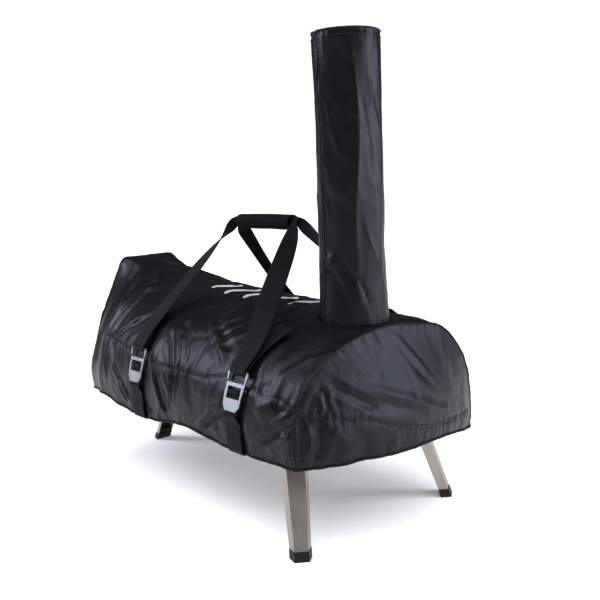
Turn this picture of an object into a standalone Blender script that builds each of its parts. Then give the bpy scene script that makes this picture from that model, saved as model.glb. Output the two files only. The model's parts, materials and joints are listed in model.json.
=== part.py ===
"""Portable wood fired pizza oven standing on three folding legs, dressed in its fitted carry cover.

Metres, +Z up, origin on the floor under the middle of the oven. The mouth and the chimney are at -Y,
the fuel hatch at +Y.
"""

import math

import bmesh
import bpy
from mathutils import Matrix, Vector

# ---------------------------------------------------------------- driving sizes
GAP = 0.0003  # between pieces that touch
FIT = 0.001  # around a piece that slides in by hand
SHEET = 0.0012  # oven sheet steel
FABRIC = 0.002  # cover cloth with its lining
WEB = 0.0018  # webbing thickness
WEB_WIDTH = 0.038

TOTAL_HEIGHT = 0.800
HEM_Z = 0.157
SPRING_Z = 0.200  # where the upright sides turn into the arch
BASE_Z = 0.186  # underside of the oven
HEM_TUCK = 0.004  # the hem is this much narrower than the sides

# cover sections along the oven: place, half width, crown height, flat half width, roundness
COVER_STATIONS = (
    (-0.3375, 0.2080, 0.338, 0.000, 2.10),
    (-0.2635, 0.2110, 0.347, 0.000, 2.20),
    (-0.1500, 0.2125, 0.354, 0.000, 2.40),
    (0.0000, 0.2125, 0.359, 0.000, 2.50),
    (0.1200, 0.2120, 0.363, 0.000, 2.40),
    (0.2350, 0.2070, 0.375, 0.020, 2.00),
    (0.3000, 0.1900, 0.390, 0.040, 1.60),
    (0.3800, 0.1500, 0.419, 0.058, 1.20),
)
FRONT_BULGE = 0.050
FRONT_BELLY = 0.0145
REAR_BULGE = 0.0086
REAR_BELLY = 0.002

OVEN_FRONT = -0.325
OVEN_REAR = 0.235
CASING_HALF = 0.1955
CASING_CROWN = 0.3325
CASING_ROUND = 2.1
BLANKET = 0.012

CHIMNEY_Y = -0.2635
PIPE_R = 0.0475
PIPE_TOP = 0.780
CAP_TOP = 0.790
SLEEVE_R = 0.0542
SLEEVE_BASE_R = 0.0580
SLEEVE_FOOT = 0.3345
BAFFLE_Z = 0.440

STONE_SIDE = 0.335
STONE_THICK = 0.010
STONE_Z = 0.203
STONE_Y = -0.0375
MOUTH_HALF = 0.158
MOUTH_FLOOR = 0.206
MOUTH_CROWN = 0.292

FUEL_HALF = 0.062
FUEL_REAR = 0.366
FUEL_TOP = 0.354  # at the oven wall
FUEL_SLOPE = 0.31  # rise of the hatch towards the rear

STRAP_YS = {"front": -0.205, "rear": 0.085}
GRIP_Y = -0.046
GRIP_Z = 0.500
GRIP_LENGTH = 0.150
GRIP_HALF = (0.0155, 0.0140)
GRIP_WALL = 0.003
GRIP_WEB_X = 0.0040  # the two webs lie side by side in the grip

BUCKLE_WIDTH = 0.050
BUCKLE_HEIGHT = 0.064
BUCKLE_THICK = 0.0024
BUCKLE_Z = 0.252
BAR_R = 0.0018
LADDER_R = 0.0011
BUCKLE_STANDOFF = 0.0048  # buckle centre plane over the cloth

PIVOT_Z = 0.168
LEG_FOOT = {"left": (-0.175, -0.3095), "right": (0.175, -0.3095), "rear": (0.0, 0.3705)}
LEG_LEAN = {"left": (-0.034, -0.0486), "right": (0.034, -0.0486), "rear": (0.0, 0.098)}
LEG_SHEET = 0.002
LEG_TOP_FACE = 0.016  # half widths of the outer face and of the open side, at the pivot and at the foot
LEG_TOP_OPEN = 0.023
LEG_END_FACE = 0.0105
LEG_END_OPEN = 0.0165
LEG_TOP_OUT = 0.012  # how far the outer face and the open edges stand off the pin
LEG_TOP_IN = 0.008
LEG_END_OUT = 0.009
LEG_END_IN = 0.006
LEG_OVER = 0.009  # leg above its pin
FOOT_HEIGHT = 0.014
PIN_R = 0.003

SMOOTH_SIDES = 40


# ---------------------------------------------------------------- helpers
def clear_scene():
    """Removes the startup objects."""
    for obj in list(bpy.data.objects):
        bpy.data.objects.remove(obj)


def finish(colour, roughness, metallic):
    """A plain Principled material."""
    material = bpy.data.materials.new("finish")
    material.use_nodes = True
    shader = material.node_tree.nodes["Principled BSDF"]
    shader.inputs["Base Color"].default_value = (*colour, 1.0)
    shader.inputs["Roughness"].default_value = roughness
    shader.inputs["Metallic"].default_value = metallic
    return material


def steel():
    return finish((0.55, 0.53, 0.51), 0.32, 1.0)


def dark_steel():
    return finish((0.03, 0.03, 0.032), 0.5, 0.3)


def cloth():
    return finish((0.012, 0.013, 0.017), 0.5, 0.0)


def webbing():
    return finish((0.006, 0.007, 0.009), 0.75, 0.0)


def add_object(name, mesh, material, smooth=False, location=(0, 0, 0)):
    """Links a mesh as a named object."""
    obj = bpy.data.objects.new(name, mesh)
    bpy.context.scene.collection.objects.link(obj)
    obj.location = location
    if material:
        mesh.materials.append(material)
    if smooth:
        for face in mesh.polygons:
            face.use_smooth = True
    return obj


def mesh_of(points, faces):
    """A mesh with merged points and outward faces."""
    mesh = bpy.data.meshes.new("shape")
    mesh.from_pydata([tuple(p) for p in points], [], faces)
    shape = bmesh.new()
    shape.from_mesh(mesh)
    bmesh.ops.remove_doubles(shape, verts=shape.verts, dist=1e-6)
    bmesh.ops.recalc_face_normals(shape, faces=shape.faces)
    shape.to_mesh(mesh)
    shape.free()
    return mesh


def tube_faces(rings, sides, loop=False):
    """Faces of a skin over rings of equal point count, capped at both ends unless it loops."""
    faces = []
    last = rings if loop else rings - 1
    for r in range(last):
        for s in range(sides):
            a = r * sides + s
            b = r * sides + (s + 1) % sides
            c = ((r + 1) % rings) * sides + (s + 1) % sides
            d = ((r + 1) % rings) * sides + s
            faces.append((a, b, c, d))
    if not loop:
        faces.append(tuple(range(sides))[::-1])
        faces.append(tuple((rings - 1) * sides + s for s in range(sides)))
    return faces


def skin(name, rings, material, smooth=False, loop=False, location=(0, 0, 0)):
    """A closed solid through a list of rings."""
    points = [p for ring in rings for p in ring]
    mesh = mesh_of(points, tube_faces(len(rings), len(rings[0]), loop))
    return add_object(name, mesh, material, smooth, location)


def block(name, low, high, material):
    """A box between two corners."""
    rings = []
    for z in (low[2], high[2]):
        rings.append([(low[0], low[1], z), (high[0], low[1], z), (high[0], high[1], z), (low[0], high[1], z)])
    return skin(name, rings, material)


def turned(name, profile, material, centre=(0, 0, 0), axis="Z", sides=SMOOTH_SIDES, height=None):
    """A solid turned round an axis from a closed loop of (radius, height) points.

    height(x, y) adds a lift to every point, so that a flange follows a curved roof.
    """
    rings = []
    for s in range(sides):
        angle = 2 * math.pi * s / sides
        ring = []
        for radius, z in profile:
            x = radius * math.cos(angle)
            y = radius * math.sin(angle)
            ring.append((x, y, z + (height(x, y) if height else 0.0)))
        rings.append(ring)
    obj = skin(name, rings, material, smooth=False, loop=True)
    if axis == "X":
        obj.data.transform(Matrix.Rotation(math.pi / 2, 4, "Y"))
    obj.location = centre
    smooth_round(obj)
    return obj


def smooth_round(obj):
    """Shades a round piece smooth between its sharp edges."""
    for face in obj.data.polygons:
        face.use_smooth = True
    obj.data.set_sharp_from_angle(angle=math.radians(40))


def rod(name, radius, start, end, material, sides=24):
    """A plain cylinder between two points."""
    start = Vector(start)
    along = Vector(end) - start
    side = along.orthogonal().normalized()
    other = along.normalized().cross(side)
    rings = []
    for step in (0.0, 1.0):
        ring = []
        for s in range(sides):
            angle = 2 * math.pi * s / sides
            ring.append(start + along * step + radius * (math.cos(angle) * side + math.sin(angle) * other))
        rings.append(ring)
    obj = skin(name, rings, material)
    smooth_round(obj)
    return obj


def boolean(obj, other, operation="DIFFERENCE"):
    """Cuts or joins with a helper that is not rendered."""
    other.hide_render = True
    other.display_type = "WIRE"
    modifier = obj.modifiers.new(operation.lower(), "BOOLEAN")
    modifier.operation = operation
    modifier.solver = "EXACT"
    modifier.object = other
    return obj


def rounded(half_x, half_y, radius, steps=3, centre=(0.0, 0.0)):
    """A rounded rectangle as a list of (x, y)."""
    points = []
    corners = ((1, 1, 0.0), (-1, 1, 90.0), (-1, -1, 180.0), (1, -1, 270.0))
    for sx, sy, begin in corners:
        for step in range(steps + 1):
            angle = math.radians(begin + 90.0 * step / steps)
            x = centre[0] + sx * (half_x - radius) + radius * math.cos(angle)
            y = centre[1] + sy * (half_y - radius) + radius * math.sin(angle)
            points.append((x, y))
    return points


def tray(name, half, radius, low, high, wall, material, centre=(0.0, 0.0)):
    """An open pan: rounded rectangle in plan, floor and walls of one thickness."""
    inner = (half[0] - wall, half[1] - wall)
    rings = []
    for size, corner, z in (
        (half, radius, low),
        (half, radius, high),
        (inner, radius - wall, high),
        (inner, radius - wall, low + wall),
    ):
        rings.append([(x, y, z) for x, y in rounded(size[0], size[1], corner, centre=centre)])
    return skin(name, rings, material)


# ---------------------------------------------------------------- sections
def station(y):
    """Half width, crown, flat half width and roundness of the cover at y."""
    first = COVER_STATIONS[0]
    last = COVER_STATIONS[-1]
    if y <= first[0]:
        return first[1:]
    if y >= last[0]:
        return last[1:]
    for low, high in zip(COVER_STATIONS, COVER_STATIONS[1:]):
        if low[0] <= y <= high[0]:
            share = (y - low[0]) / (high[0] - low[0])
            share = share * share * (3 - 2 * share)
            return tuple(a + (b - a) * share for a, b in zip(low[1:], high[1:]))
    return last[1:]


def arch_point(half, crown, flat, power, angle, spring=SPRING_Z):
    """(x, z) on the right half of an arch: angle 0 at the side, 90 degrees at the crown."""
    across = math.cos(angle) ** (2.0 / power) if angle < math.pi / 2 else 0.0
    rise = math.sin(angle) ** (2.0 / power) if angle > 0 else 0.0
    return flat + (half - flat) * across, spring + (crown - spring) * rise


def arch_z(half, crown, power, x, spring=SPRING_Z):
    """Height of a plain arch over x."""
    share = min(1.0, abs(x) / half)
    return spring + (crown - spring) * (1 - share**power) ** (1.0 / power)


def cover_side(y, angle, off=0.0):
    """A point over the cover's +X side at y, the upward tangent and the outward normal there."""
    half, crown, flat, power = station(y)
    step = 0.02
    x, z = arch_point(half, crown, flat, power, angle)
    x0, z0 = arch_point(half, crown, flat, power, max(0.001, angle - step))
    x1, z1 = arch_point(half, crown, flat, power, min(math.pi / 2, angle + step))
    up = Vector((x1 - x0, 0.0, z1 - z0)).normalized()
    out = Vector((up.z, 0.0, -up.x))
    return Vector((x, y, z)) + out * off, up, out


def cover_arc(y, arcs=11):
    """The cover's outer line over the oven at y, from the hem at +X to the hem at -X."""
    half, crown, flat, power = station(y)
    right = [(half - HEM_TUCK, HEM_Z), (half - HEM_TUCK * 0.35, (HEM_Z + SPRING_Z) / 2)]
    for step in range(arcs + 1):
        right.append(arch_point(half, crown, flat, power, math.pi / 2 * step / arcs))
    if flat > 0.001:
        right.append((0.0, crown))
    else:
        right[-1] = (0.0, crown)
        right.insert(-1, arch_point(half, crown, flat, power, math.pi / 2 * (arcs - 0.4) / arcs))
    left = [(-x, z) for x, z in right[:-1]][::-1]
    return [Vector((x, y, z)) for x, z in right + left]


# ---------------------------------------------------------------- cover
def end_panel(arc, sign, bulge, belly, rows=7):
    """Rows of points from an end arch down to the bowed hem under it, without the arch itself."""
    half = arc[0].x
    grid = []
    for row in range(1, rows + 1):
        share = row / rows
        line = []
        for index, point in enumerate(arc):
            across = 1 - 2 * index / (len(arc) - 1)
            foot_x = half * across
            bow = 1 - across * across
            foot = Vector((foot_x, point.y + sign * bulge * bow, HEM_Z))
            place = point.lerp(foot, share)
            place.y += sign * belly * math.sin(math.pi * share**1.4) * bow
            line.append(place)
        grid.append(line)
    return grid


def cover_body():
    """Fitted cloth cover: arched body, bowed front and rear panels, open underneath."""
    first = COVER_STATIONS[0][0]
    last = COVER_STATIONS[-1][0]
    rows = 17
    arcs = [cover_arc(first + (last - first) * row / (rows - 1)) for row in range(rows)]
    grid = end_panel(arcs[0], -1, FRONT_BULGE, FRONT_BELLY)[::-1]
    grid += arcs
    grid += end_panel(arcs[-1], 1, REAR_BULGE, REAR_BELLY)
    count = len(grid[0])
    points = [p for line in grid for p in line]
    faces = []
    for r in range(len(grid) - 1):
        for s in range(count - 1):
            a = r * count + s
            faces.append((a, a + 1, a + count + 1, a + count))
    mesh = mesh_of(points, faces)
    cover = add_object("cover_body", mesh, cloth(), smooth=True)
    if sum(face.normal.z for face in mesh.polygons) < 0:
        mesh.flip_normals()
    shell = cover.modifiers.new("cloth", "SOLIDIFY")
    shell.thickness = FABRIC
    shell.offset = -1
    hole = rod(
        "cut_sleeve_hole",
        SLEEVE_BASE_R + GAP,
        (0, CHIMNEY_Y, 0.30),
        (0, CHIMNEY_Y, 0.40),
        None,
        SMOOTH_SIDES,
    )
    return boolean(cover, hole)


def chimney_sleeve():
    """Cloth sleeve over the chimney, closed at the top, let into the cover's roof."""
    top = TOTAL_HEIGHT
    outer = [
        (SLEEVE_BASE_R, SLEEVE_FOOT),
        (SLEEVE_BASE_R - 0.0005, SLEEVE_FOOT + 0.022),
        (SLEEVE_R + 0.001, SLEEVE_FOOT + 0.075),
        (SLEEVE_R, SLEEVE_FOOT + 0.150),
        (SLEEVE_R, top - 0.030),
        (SLEEVE_R - 0.001, top - 0.008),
        (SLEEVE_R - 0.006, top - 0.001),
        (0.030, top),
    ]
    inner = [(r - FABRIC, min(z, top - 0.002 - FABRIC)) for r, z in outer[:-1]]
    inner.append((0.030, top - FABRIC))
    sides = SMOOTH_SIDES
    rings = []
    for radius, z in inner[::-1] + outer:
        ring = []
        for s in range(sides):
            angle = 2 * math.pi * s / sides
            ring.append((radius * math.cos(angle), CHIMNEY_Y + radius * math.sin(angle), z))
        rings.append(ring)
    sleeve = skin("chimney_sleeve", rings, cloth())
    smooth_round(sleeve)
    return sleeve


# ---------------------------------------------------------------- webbing
def ribbon(name, stops, thick, material, wide=WEB_WIDTH):
    """A strap through (point, width direction, width share) stops."""
    rings = []
    for index, (point, across, share) in enumerate(stops):
        before = stops[max(0, index - 1)][0]
        after = stops[min(len(stops) - 1, index + 1)][0]
        along = (after - before).normalized()
        side = (across - along * across.dot(along)).normalized()
        face = along.cross(side)
        half = side * wide * share / 2
        rise = face * thick / 2
        rings.append([point - half - rise, point + half - rise, point + half + rise, point - half + rise])
    return skin(name, rings, material)


def mirrored(stops):
    """The same strap on the other side of the oven."""
    return [
        (Vector((-p.x, p.y, p.z)), Vector((-w.x, w.y, w.z)), share) for p, w, share in stops
    ]


def side_angle(y, z):
    """The arch angle at which the cover's side at y reaches height z."""
    crown = station(y)[1]
    power = station(y)[3]
    rise = (z - SPRING_Z) / (crown - SPRING_Z)
    return math.asin(rise ** (power / 2.0))


def buckle_frame(y):
    """Origin on the cloth, up and outward directions at a buckle on the +X side."""
    return cover_side(y, side_angle(y, BUCKLE_Z))


def on_buckle(y, rise, off):
    """A point at a height along the buckle and a distance off the cloth plane, on the +X side."""
    origin, up, out = buckle_frame(y)
    return origin + up * rise + out * off


BAR_RISE = BUCKLE_HEIGHT / 2 - BAR_R
LADDER_RISE = -0.001
TAIL_OFF = 0.0038  # centre of the doubled tail over the cloth
TURN = BAR_R + GAP + WEB / 2  # bend radius of the web round the top bar
LADDER_TURN = LADDER_R + GAP + WEB / 2


def carry_half(place):
    """Stops of a carry web from its doubled tail, round the buckle bar and up to the grip, on the +X side."""
    y = STRAP_YS[place]
    lean = -1 if place == "front" else 1
    width = Vector((0, 1, 0))
    stops = []
    start = side_angle(y, BUCKLE_Z + 0.045)
    for step in range(6):  # the tail comes down the cloth
        share = step / 5
        angle = side_angle(y, 0.335) * (1 - share) + start * share
        shift = lean * 0.018 * (1 - share)
        point = cover_side(y, angle, TAIL_OFF)[0]
        stops.append((point + Vector((0, shift, 0)), width, 1.0))
    stops.append((on_buckle(y, BAR_RISE + 0.005, BUCKLE_STANDOFF - TURN), width, 1.0))
    for step in range(9):  # round the bar
        angle = math.pi * step / 8
        rise = BAR_RISE - TURN * math.sin(angle)
        off = BUCKLE_STANDOFF - TURN * math.cos(angle)
        stops.append((on_buckle(y, rise, off), width, 1.0))
    stops.append((on_buckle(y, BAR_RISE + 0.006, BUCKLE_STANDOFF + TURN), width, 1.0))
    leave = cover_side(y, side_angle(y, BUCKLE_Z + 0.055), 0.0105)[0]
    stops.append((leave, width, 1.0))
    end_y = GRIP_Y + lean * (GRIP_LENGTH / 2 + 0.012)
    grip_end = Vector((GRIP_WEB_X, end_y, GRIP_Z))
    corner = Vector((0.160, y, 0.338))
    pull = Vector((0.030, GRIP_Y + lean * (GRIP_LENGTH / 2 + 0.026), GRIP_Z - 0.030))
    across = Vector((-0.25, 0.0, 1.0)).normalized()
    for step in range(1, 11):  # free up to the grip
        share = step / 10
        a = leave.lerp(corner, share)
        b = corner.lerp(pull, share)
        c = pull.lerp(grip_end, share)
        point = a.lerp(b, share).lerp(b.lerp(c, share), share)
        turn = share * share
        stops.append((point, width.lerp(across * -lean, turn), 1.0 - 0.55 * share))
    mouth = Vector((GRIP_WEB_X, GRIP_Y + lean * (GRIP_LENGTH / 2 + 0.004), GRIP_Z))
    stops.append((mouth, Vector((0, 0, -lean)), 0.45))
    return stops


def carry_web(side):
    """One web from the front buckle over the grip to the rear buckle."""
    front = carry_half("front")
    rear = carry_half("rear")
    inside = []
    upright = Vector((0, 0, 1))
    for step in range(1, 6):
        y = GRIP_Y - GRIP_LENGTH / 2 + GRIP_LENGTH * step / 6
        inside.append((Vector((GRIP_WEB_X, y, GRIP_Z)), upright, 0.45))
    stops = front + inside + rear[::-1]
    fixed = [stops[0]]
    for point, across, share in stops[1:]:
        if across.dot(fixed[-1][1]) < 0:
            across = -across
        fixed.append((point, across, share))
    if side == "near":
        fixed = mirrored(fixed)
    return ribbon("carry_web_" + side, fixed, WEB, webbing())


def strap_end(side, place):
    """The lower web's end: up behind the buckle and round the ladder bar."""
    y = STRAP_YS[place]
    width = Vector((0, 1, 0))
    low = -BUCKLE_HEIGHT / 2 - 0.004
    back = BUCKLE_STANDOFF - LADDER_TURN
    stops = [(on_buckle(y, low, back), width, 0.8)]
    stops.append((on_buckle(y, low / 2, back), width, 0.8))
    for step in range(9):
        angle = math.pi * step / 8
        rise = LADDER_RISE + LADDER_TURN * math.sin(angle)
        off = BUCKLE_STANDOFF - LADDER_TURN * math.cos(angle)
        stops.append((on_buckle(y, rise, off), width, 0.72))
    stops.append((on_buckle(y, LADDER_RISE - 0.0035, BUCKLE_STANDOFF + LADDER_TURN - 0.0004), width, 0.72))
    if side == "near":
        stops = mirrored(stops)
    return ribbon(f"strap_end_{side}_{place}", stops, WEB, webbing())


def belly_strap(place):
    """Web from buckle to buckle, down the cover's sides, round the hem and under the oven."""
    y = STRAP_YS[place]
    width = Vector((0, 1, 0))
    low = -BUCKLE_HEIGHT / 2 - 0.004 - GAP
    back = BUCKLE_STANDOFF - LADDER_TURN
    half = station(y)[0]
    outside = half + GAP + 0.0006 + WEB / 2
    inside = half - HEM_TUCK - FABRIC - 0.0012 - WEB / 2
    under = BASE_Z - GAP - WEB / 2
    right = [
        on_buckle(y, low, back),
        on_buckle(y, low - 0.004, back),
        Vector((outside, y, SPRING_Z - 0.008)),
        Vector((outside - HEM_TUCK * 0.4, y, HEM_Z + 0.006)),
        Vector((outside - HEM_TUCK * 0.5, y, HEM_Z)),
        Vector((outside - 0.0045, y, HEM_Z - 0.0022)),
        Vector((inside + 0.0018, y, HEM_Z - 0.0022)),
        Vector((inside, y, HEM_Z)),
        Vector((inside - 0.003, y, HEM_Z + 0.008)),
        Vector((0.188, y, under - 0.004)),
        Vector((0.182, y, under)),
        Vector((0.09, y, under)),
    ]
    left = [Vector((-p.x, p.y, p.z)) for p in right[::-1]]
    path = right + left
    thin = (0, 1, len(path) - 2, len(path) - 1)
    stops = [(p, width, 0.8 if i in thin else 1.0) for i, p in enumerate(path)]
    return ribbon("belly_strap_" + place, stops, WEB, webbing())


def grip_wrap():
    """Padded wrap that closes round both carry webs."""
    sides = 24
    rings = []
    inner = (GRIP_HALF[0] - GRIP_WALL, GRIP_HALF[1] - GRIP_WALL)
    low = GRIP_Y - GRIP_LENGTH / 2
    high = GRIP_Y + GRIP_LENGTH / 2
    for half, y in ((inner, low), (GRIP_HALF, low), (GRIP_HALF, high), (inner, high)):
        ring = []
        for s in range(sides):
            angle = 2 * math.pi * s / sides
            ring.append((half[0] * math.cos(angle), y, GRIP_Z + half[1] * math.sin(angle)))
        rings.append(ring)
    wrap = skin("grip_wrap", rings, webbing(), loop=True)
    smooth_round(wrap)
    return wrap


# ---------------------------------------------------------------- buckles
def buckle(side, place):
    """Hook buckle: top bar for the carry web, open throat on one side, ladder slot and solid lower plate."""
    w = BUCKLE_WIDTH / 2
    h = BUCKLE_HEIGHT / 2
    outline = [
        (w - 0.0030, h),
        (w, h - 0.006),
        (w - 0.0025, 0.006),
        (w - 0.0045, -0.010),
        (w - 0.0045, -h + 0.009),
        (w - 0.0120, -h),
        (-w + 0.0120, -h),
        (-w + 0.0045, -h + 0.009),
        (-w + 0.0020, -0.004),
        (-w + 0.0035, 0.006),
        (-w, h - 0.006),
        (-w + 0.0030, h),
    ]
    t = BUCKLE_THICK / 2
    name = f"buckle_{side}_{place}"
    body = skin(name, [[(x, y, -t) for x, y in outline], [(x, y, t) for x, y in outline]], steel_light())
    top_slot = block("cut_top_" + name, (-w + 0.0045, 0.0125, -0.01), (w - 0.0045, h + 0.01, 0.01), None)
    throat = block("cut_throat_" + name, (-w - 0.01, 0.0125, -0.01), (-w + 0.02, 0.0160, 0.01), None)
    ladder = block("cut_ladder_" + name, (-0.0165, -0.0125, -0.01), (0.0165, 0.0065, 0.01), None)
    bar = rod("join_bar_" + name, BAR_R, (-w + 0.0028, BAR_RISE, 0), (w - 0.0028, BAR_RISE, 0), None, 16)
    ladder_ends = (-0.0175, LADDER_RISE, 0), (0.0175, LADDER_RISE, 0)
    ladder_bar = rod("join_ladder_" + name, LADDER_R, *ladder_ends, None, 12)
    boolean(body, top_slot)
    boolean(body, throat)
    boolean(body, ladder)
    boolean(body, bar, "UNION")
    boolean(body, ladder_bar, "UNION")
    origin, up, out = buckle_frame(STRAP_YS[place])
    flip = -1 if side == "near" else 1
    up = Vector((up.x * flip, 0, up.z))
    out = Vector((out.x * flip, 0, out.z))
    centre = Vector((origin.x * flip, origin.y, origin.z)) + out * BUCKLE_STANDOFF
    across = up.cross(out)
    turn = Matrix((across, up, out)).transposed().to_4x4()
    pose = Matrix.Translation(centre) @ turn
    for piece in (body, top_slot, throat, ladder, bar, ladder_bar):
        piece.data.transform(pose)
    # the origin goes to the top bar, which the buckle swings about
    pivot = pose @ Vector((0, BAR_RISE, 0))
    body.data.transform(Matrix.Translation(-pivot))
    body.location = pivot
    return body


def steel_light():
    return finish((0.60, 0.60, 0.62), 0.30, 1.0)


# ---------------------------------------------------------------- oven body
def arch_outline(inset, low, steps=24):
    """Closed (x, z) outline of the casing's section, inset all round except at the straight base."""
    half = CASING_HALF - inset
    crown = CASING_CROWN - inset
    right = [(half, low)]
    for step in range(steps // 2 + 1):
        right.append(arch_point(half, crown, 0.0, CASING_ROUND, math.pi / 2 * step / (steps // 2)))
    left = [(-x, z) for x, z in right[:-1]][::-1]
    return right + left


def arch_sheet(name, inset, thick, front, rear, low, material):
    """A bent sheet along the oven, open at the bottom."""
    outer = arch_outline(inset, low)
    inner = arch_outline(inset + thick, low)[::-1]
    rings = [[(x, y, z) for x, z in outer + inner] for y in (front, rear)]
    sheet = skin(name, rings, material)
    smooth_round(sheet)
    return sheet


def arch_plate(name, inset, front, rear, low, material):
    """A flat end plate of the oven's section."""
    outline = arch_outline(inset, low)
    return skin(name, [[(x, y, z) for x, z in outline] for y in (front, rear)], material)


def mouth_outline(grow=0.0):
    """Mouth or door outline: straight sill, rounded top."""
    half = MOUTH_HALF + grow
    crown = MOUTH_CROWN + grow
    floor = MOUTH_FLOOR - grow
    right = [(half, floor), (half, crown - 0.050)]
    for step in range(1, 5):
        angle = math.radians(90 * step / 4)
        right.append((half - 0.060 + 0.060 * math.cos(angle), crown - 0.050 + 0.050 * math.sin(angle)))
    left = [(-x, z) for x, z in right][::-1]
    return right + left


def chimney_cutter(name, radius):
    return rod(name, radius, (0, CHIMNEY_Y, 0.28), (0, CHIMNEY_Y, 0.36), None, SMOOTH_SIDES)


def oven_shell():
    """Base, casing, blanket, liner, end plates."""
    length = (OVEN_REAR - OVEN_FRONT) / 2
    middle = (OVEN_REAR + OVEN_FRONT) / 2
    tray(
        "base_tray",
        (CASING_HALF + GAP + SHEET, length + GAP + SHEET),
        SHEET + GAP,
        BASE_Z,
        BASE_Z + 0.009,
        SHEET,
        steel(),
        (0.0, middle),
    )
    floor = BASE_Z + SHEET + GAP
    front = OVEN_FRONT + SHEET + GAP
    rear = OVEN_REAR - SHEET - GAP
    casing = arch_sheet("outer_casing", 0.0, SHEET, front, rear, floor, dark_steel())
    boolean(casing, chimney_cutter("cut_casing", PIPE_R + GAP))
    inset = SHEET + GAP
    wool = finish((0.75, 0.74, 0.7), 0.95, 0.0)
    blanket = arch_sheet("insulation_blanket", inset, BLANKET, front, rear, floor, wool)
    boolean(blanket, chimney_cutter("cut_blanket", PIPE_R + GAP))
    inset += BLANKET + GAP
    liner = arch_sheet("inner_liner", inset, SHEET, front, rear, floor, steel())
    boolean(liner, chimney_cutter("cut_liner", PIPE_R + GAP))
    fascia = arch_plate("front_fascia", 0.0, OVEN_FRONT, OVEN_FRONT + SHEET, floor, steel())
    mouth = mouth_outline()
    boolean(fascia, skin("cut_mouth", [[(x, y, z) for x, z in mouth] for y in (-0.35, -0.30)], None))
    rear_wall = arch_plate("rear_wall", 0.0, OVEN_REAR - SHEET, OVEN_REAR, floor, dark_steel())
    boolean(rear_wall, block("cut_burner", (-0.050, 0.20, 0.206), (0.050, 0.26, 0.268), None))


def stone_set():
    """Rails, carrier pan and baking stone."""
    floor = BASE_Z + SHEET + GAP
    low = STONE_Z - SHEET - GAP
    half = STONE_SIDE / 2
    for side, sign in (("left", -1), ("right", 1)):
        x = sign * (half - 0.030)
        near = (x - 0.006, STONE_Y - half, floor)
        far = (x + 0.006, STONE_Y + half, low - GAP)
        block(f"stone_rail_{side}", near, far, steel())
    reach = half + FIT + SHEET
    tray("stone_carrier", (reach, reach), 0.006, low, STONE_Z + 0.006, SHEET, steel(), (0.0, STONE_Y))
    outline = rounded(half, half, 0.005, centre=(0.0, STONE_Y))
    rings = [[(x, y, z) for x, y in outline] for z in (STONE_Z, STONE_Z + STONE_THICK)]
    skin("baking_stone", rings, finish((0.62, 0.52, 0.40), 0.9, 0.0))


def front_end():
    """Shelf under the mouth, door panel, its two posts and the grip bar."""
    back = OVEN_FRONT - GAP
    shelf_z = 0.197
    outline = [
        (0.128, back),
        (-0.128, back),
        (-0.128, back - 0.020),
        (-0.112, -0.362),
        (0.112, -0.362),
        (0.128, back - 0.020),
    ]
    rings = [[(x, y, z) for x, y in outline] for z in (shelf_z - SHEET, shelf_z)]
    skin("front_shelf", rings, steel())
    outer = mouth_outline(0.008)
    inner = mouth_outline(0.008 - SHEET)
    low = shelf_z + GAP - min(z for x, z in outer)
    depth = 0.008
    face = back - depth
    rings = []
    for line, y in ((inner, back), (outer, back), (outer, face), (inner, face + SHEET)):
        rings.append([(x, y, z + low) for x, z in line])
    points = rings[0] + rings[1] + rings[2] + rings[3]
    count = len(outer)
    faces = []
    for first, second in ((0, 1), (1, 2), (3, 0)):
        for s in range(count):
            n = (s + 1) % count
            faces.append((first * count + s, first * count + n, second * count + n, second * count + s))
    faces.append(tuple(2 * count + s for s in range(count)))
    faces.append(tuple(3 * count + s for s in range(count)))
    add_object("door_panel", mesh_of(points, faces), steel())
    grip_y = face - 0.017
    for side, sign in (("left", -1), ("right", 1)):
        x = sign * 0.042
        rod(f"door_post_{side}", 0.004, (x, face - GAP, 0.245), (x, grip_y + 0.0087, 0.245), steel(), 16)
    black_wood = finish((0.02, 0.018, 0.016), 0.6, 0.0)
    rod("door_grip", 0.0084, (-0.060, grip_y, 0.245), (0.060, grip_y, 0.245), black_wood)


def casing_lift(x, y):
    """How far the casing's roof falls away from its crown at x."""
    return arch_z(CASING_HALF, CASING_CROWN, CASING_ROUND, x) - CASING_CROWN


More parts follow.
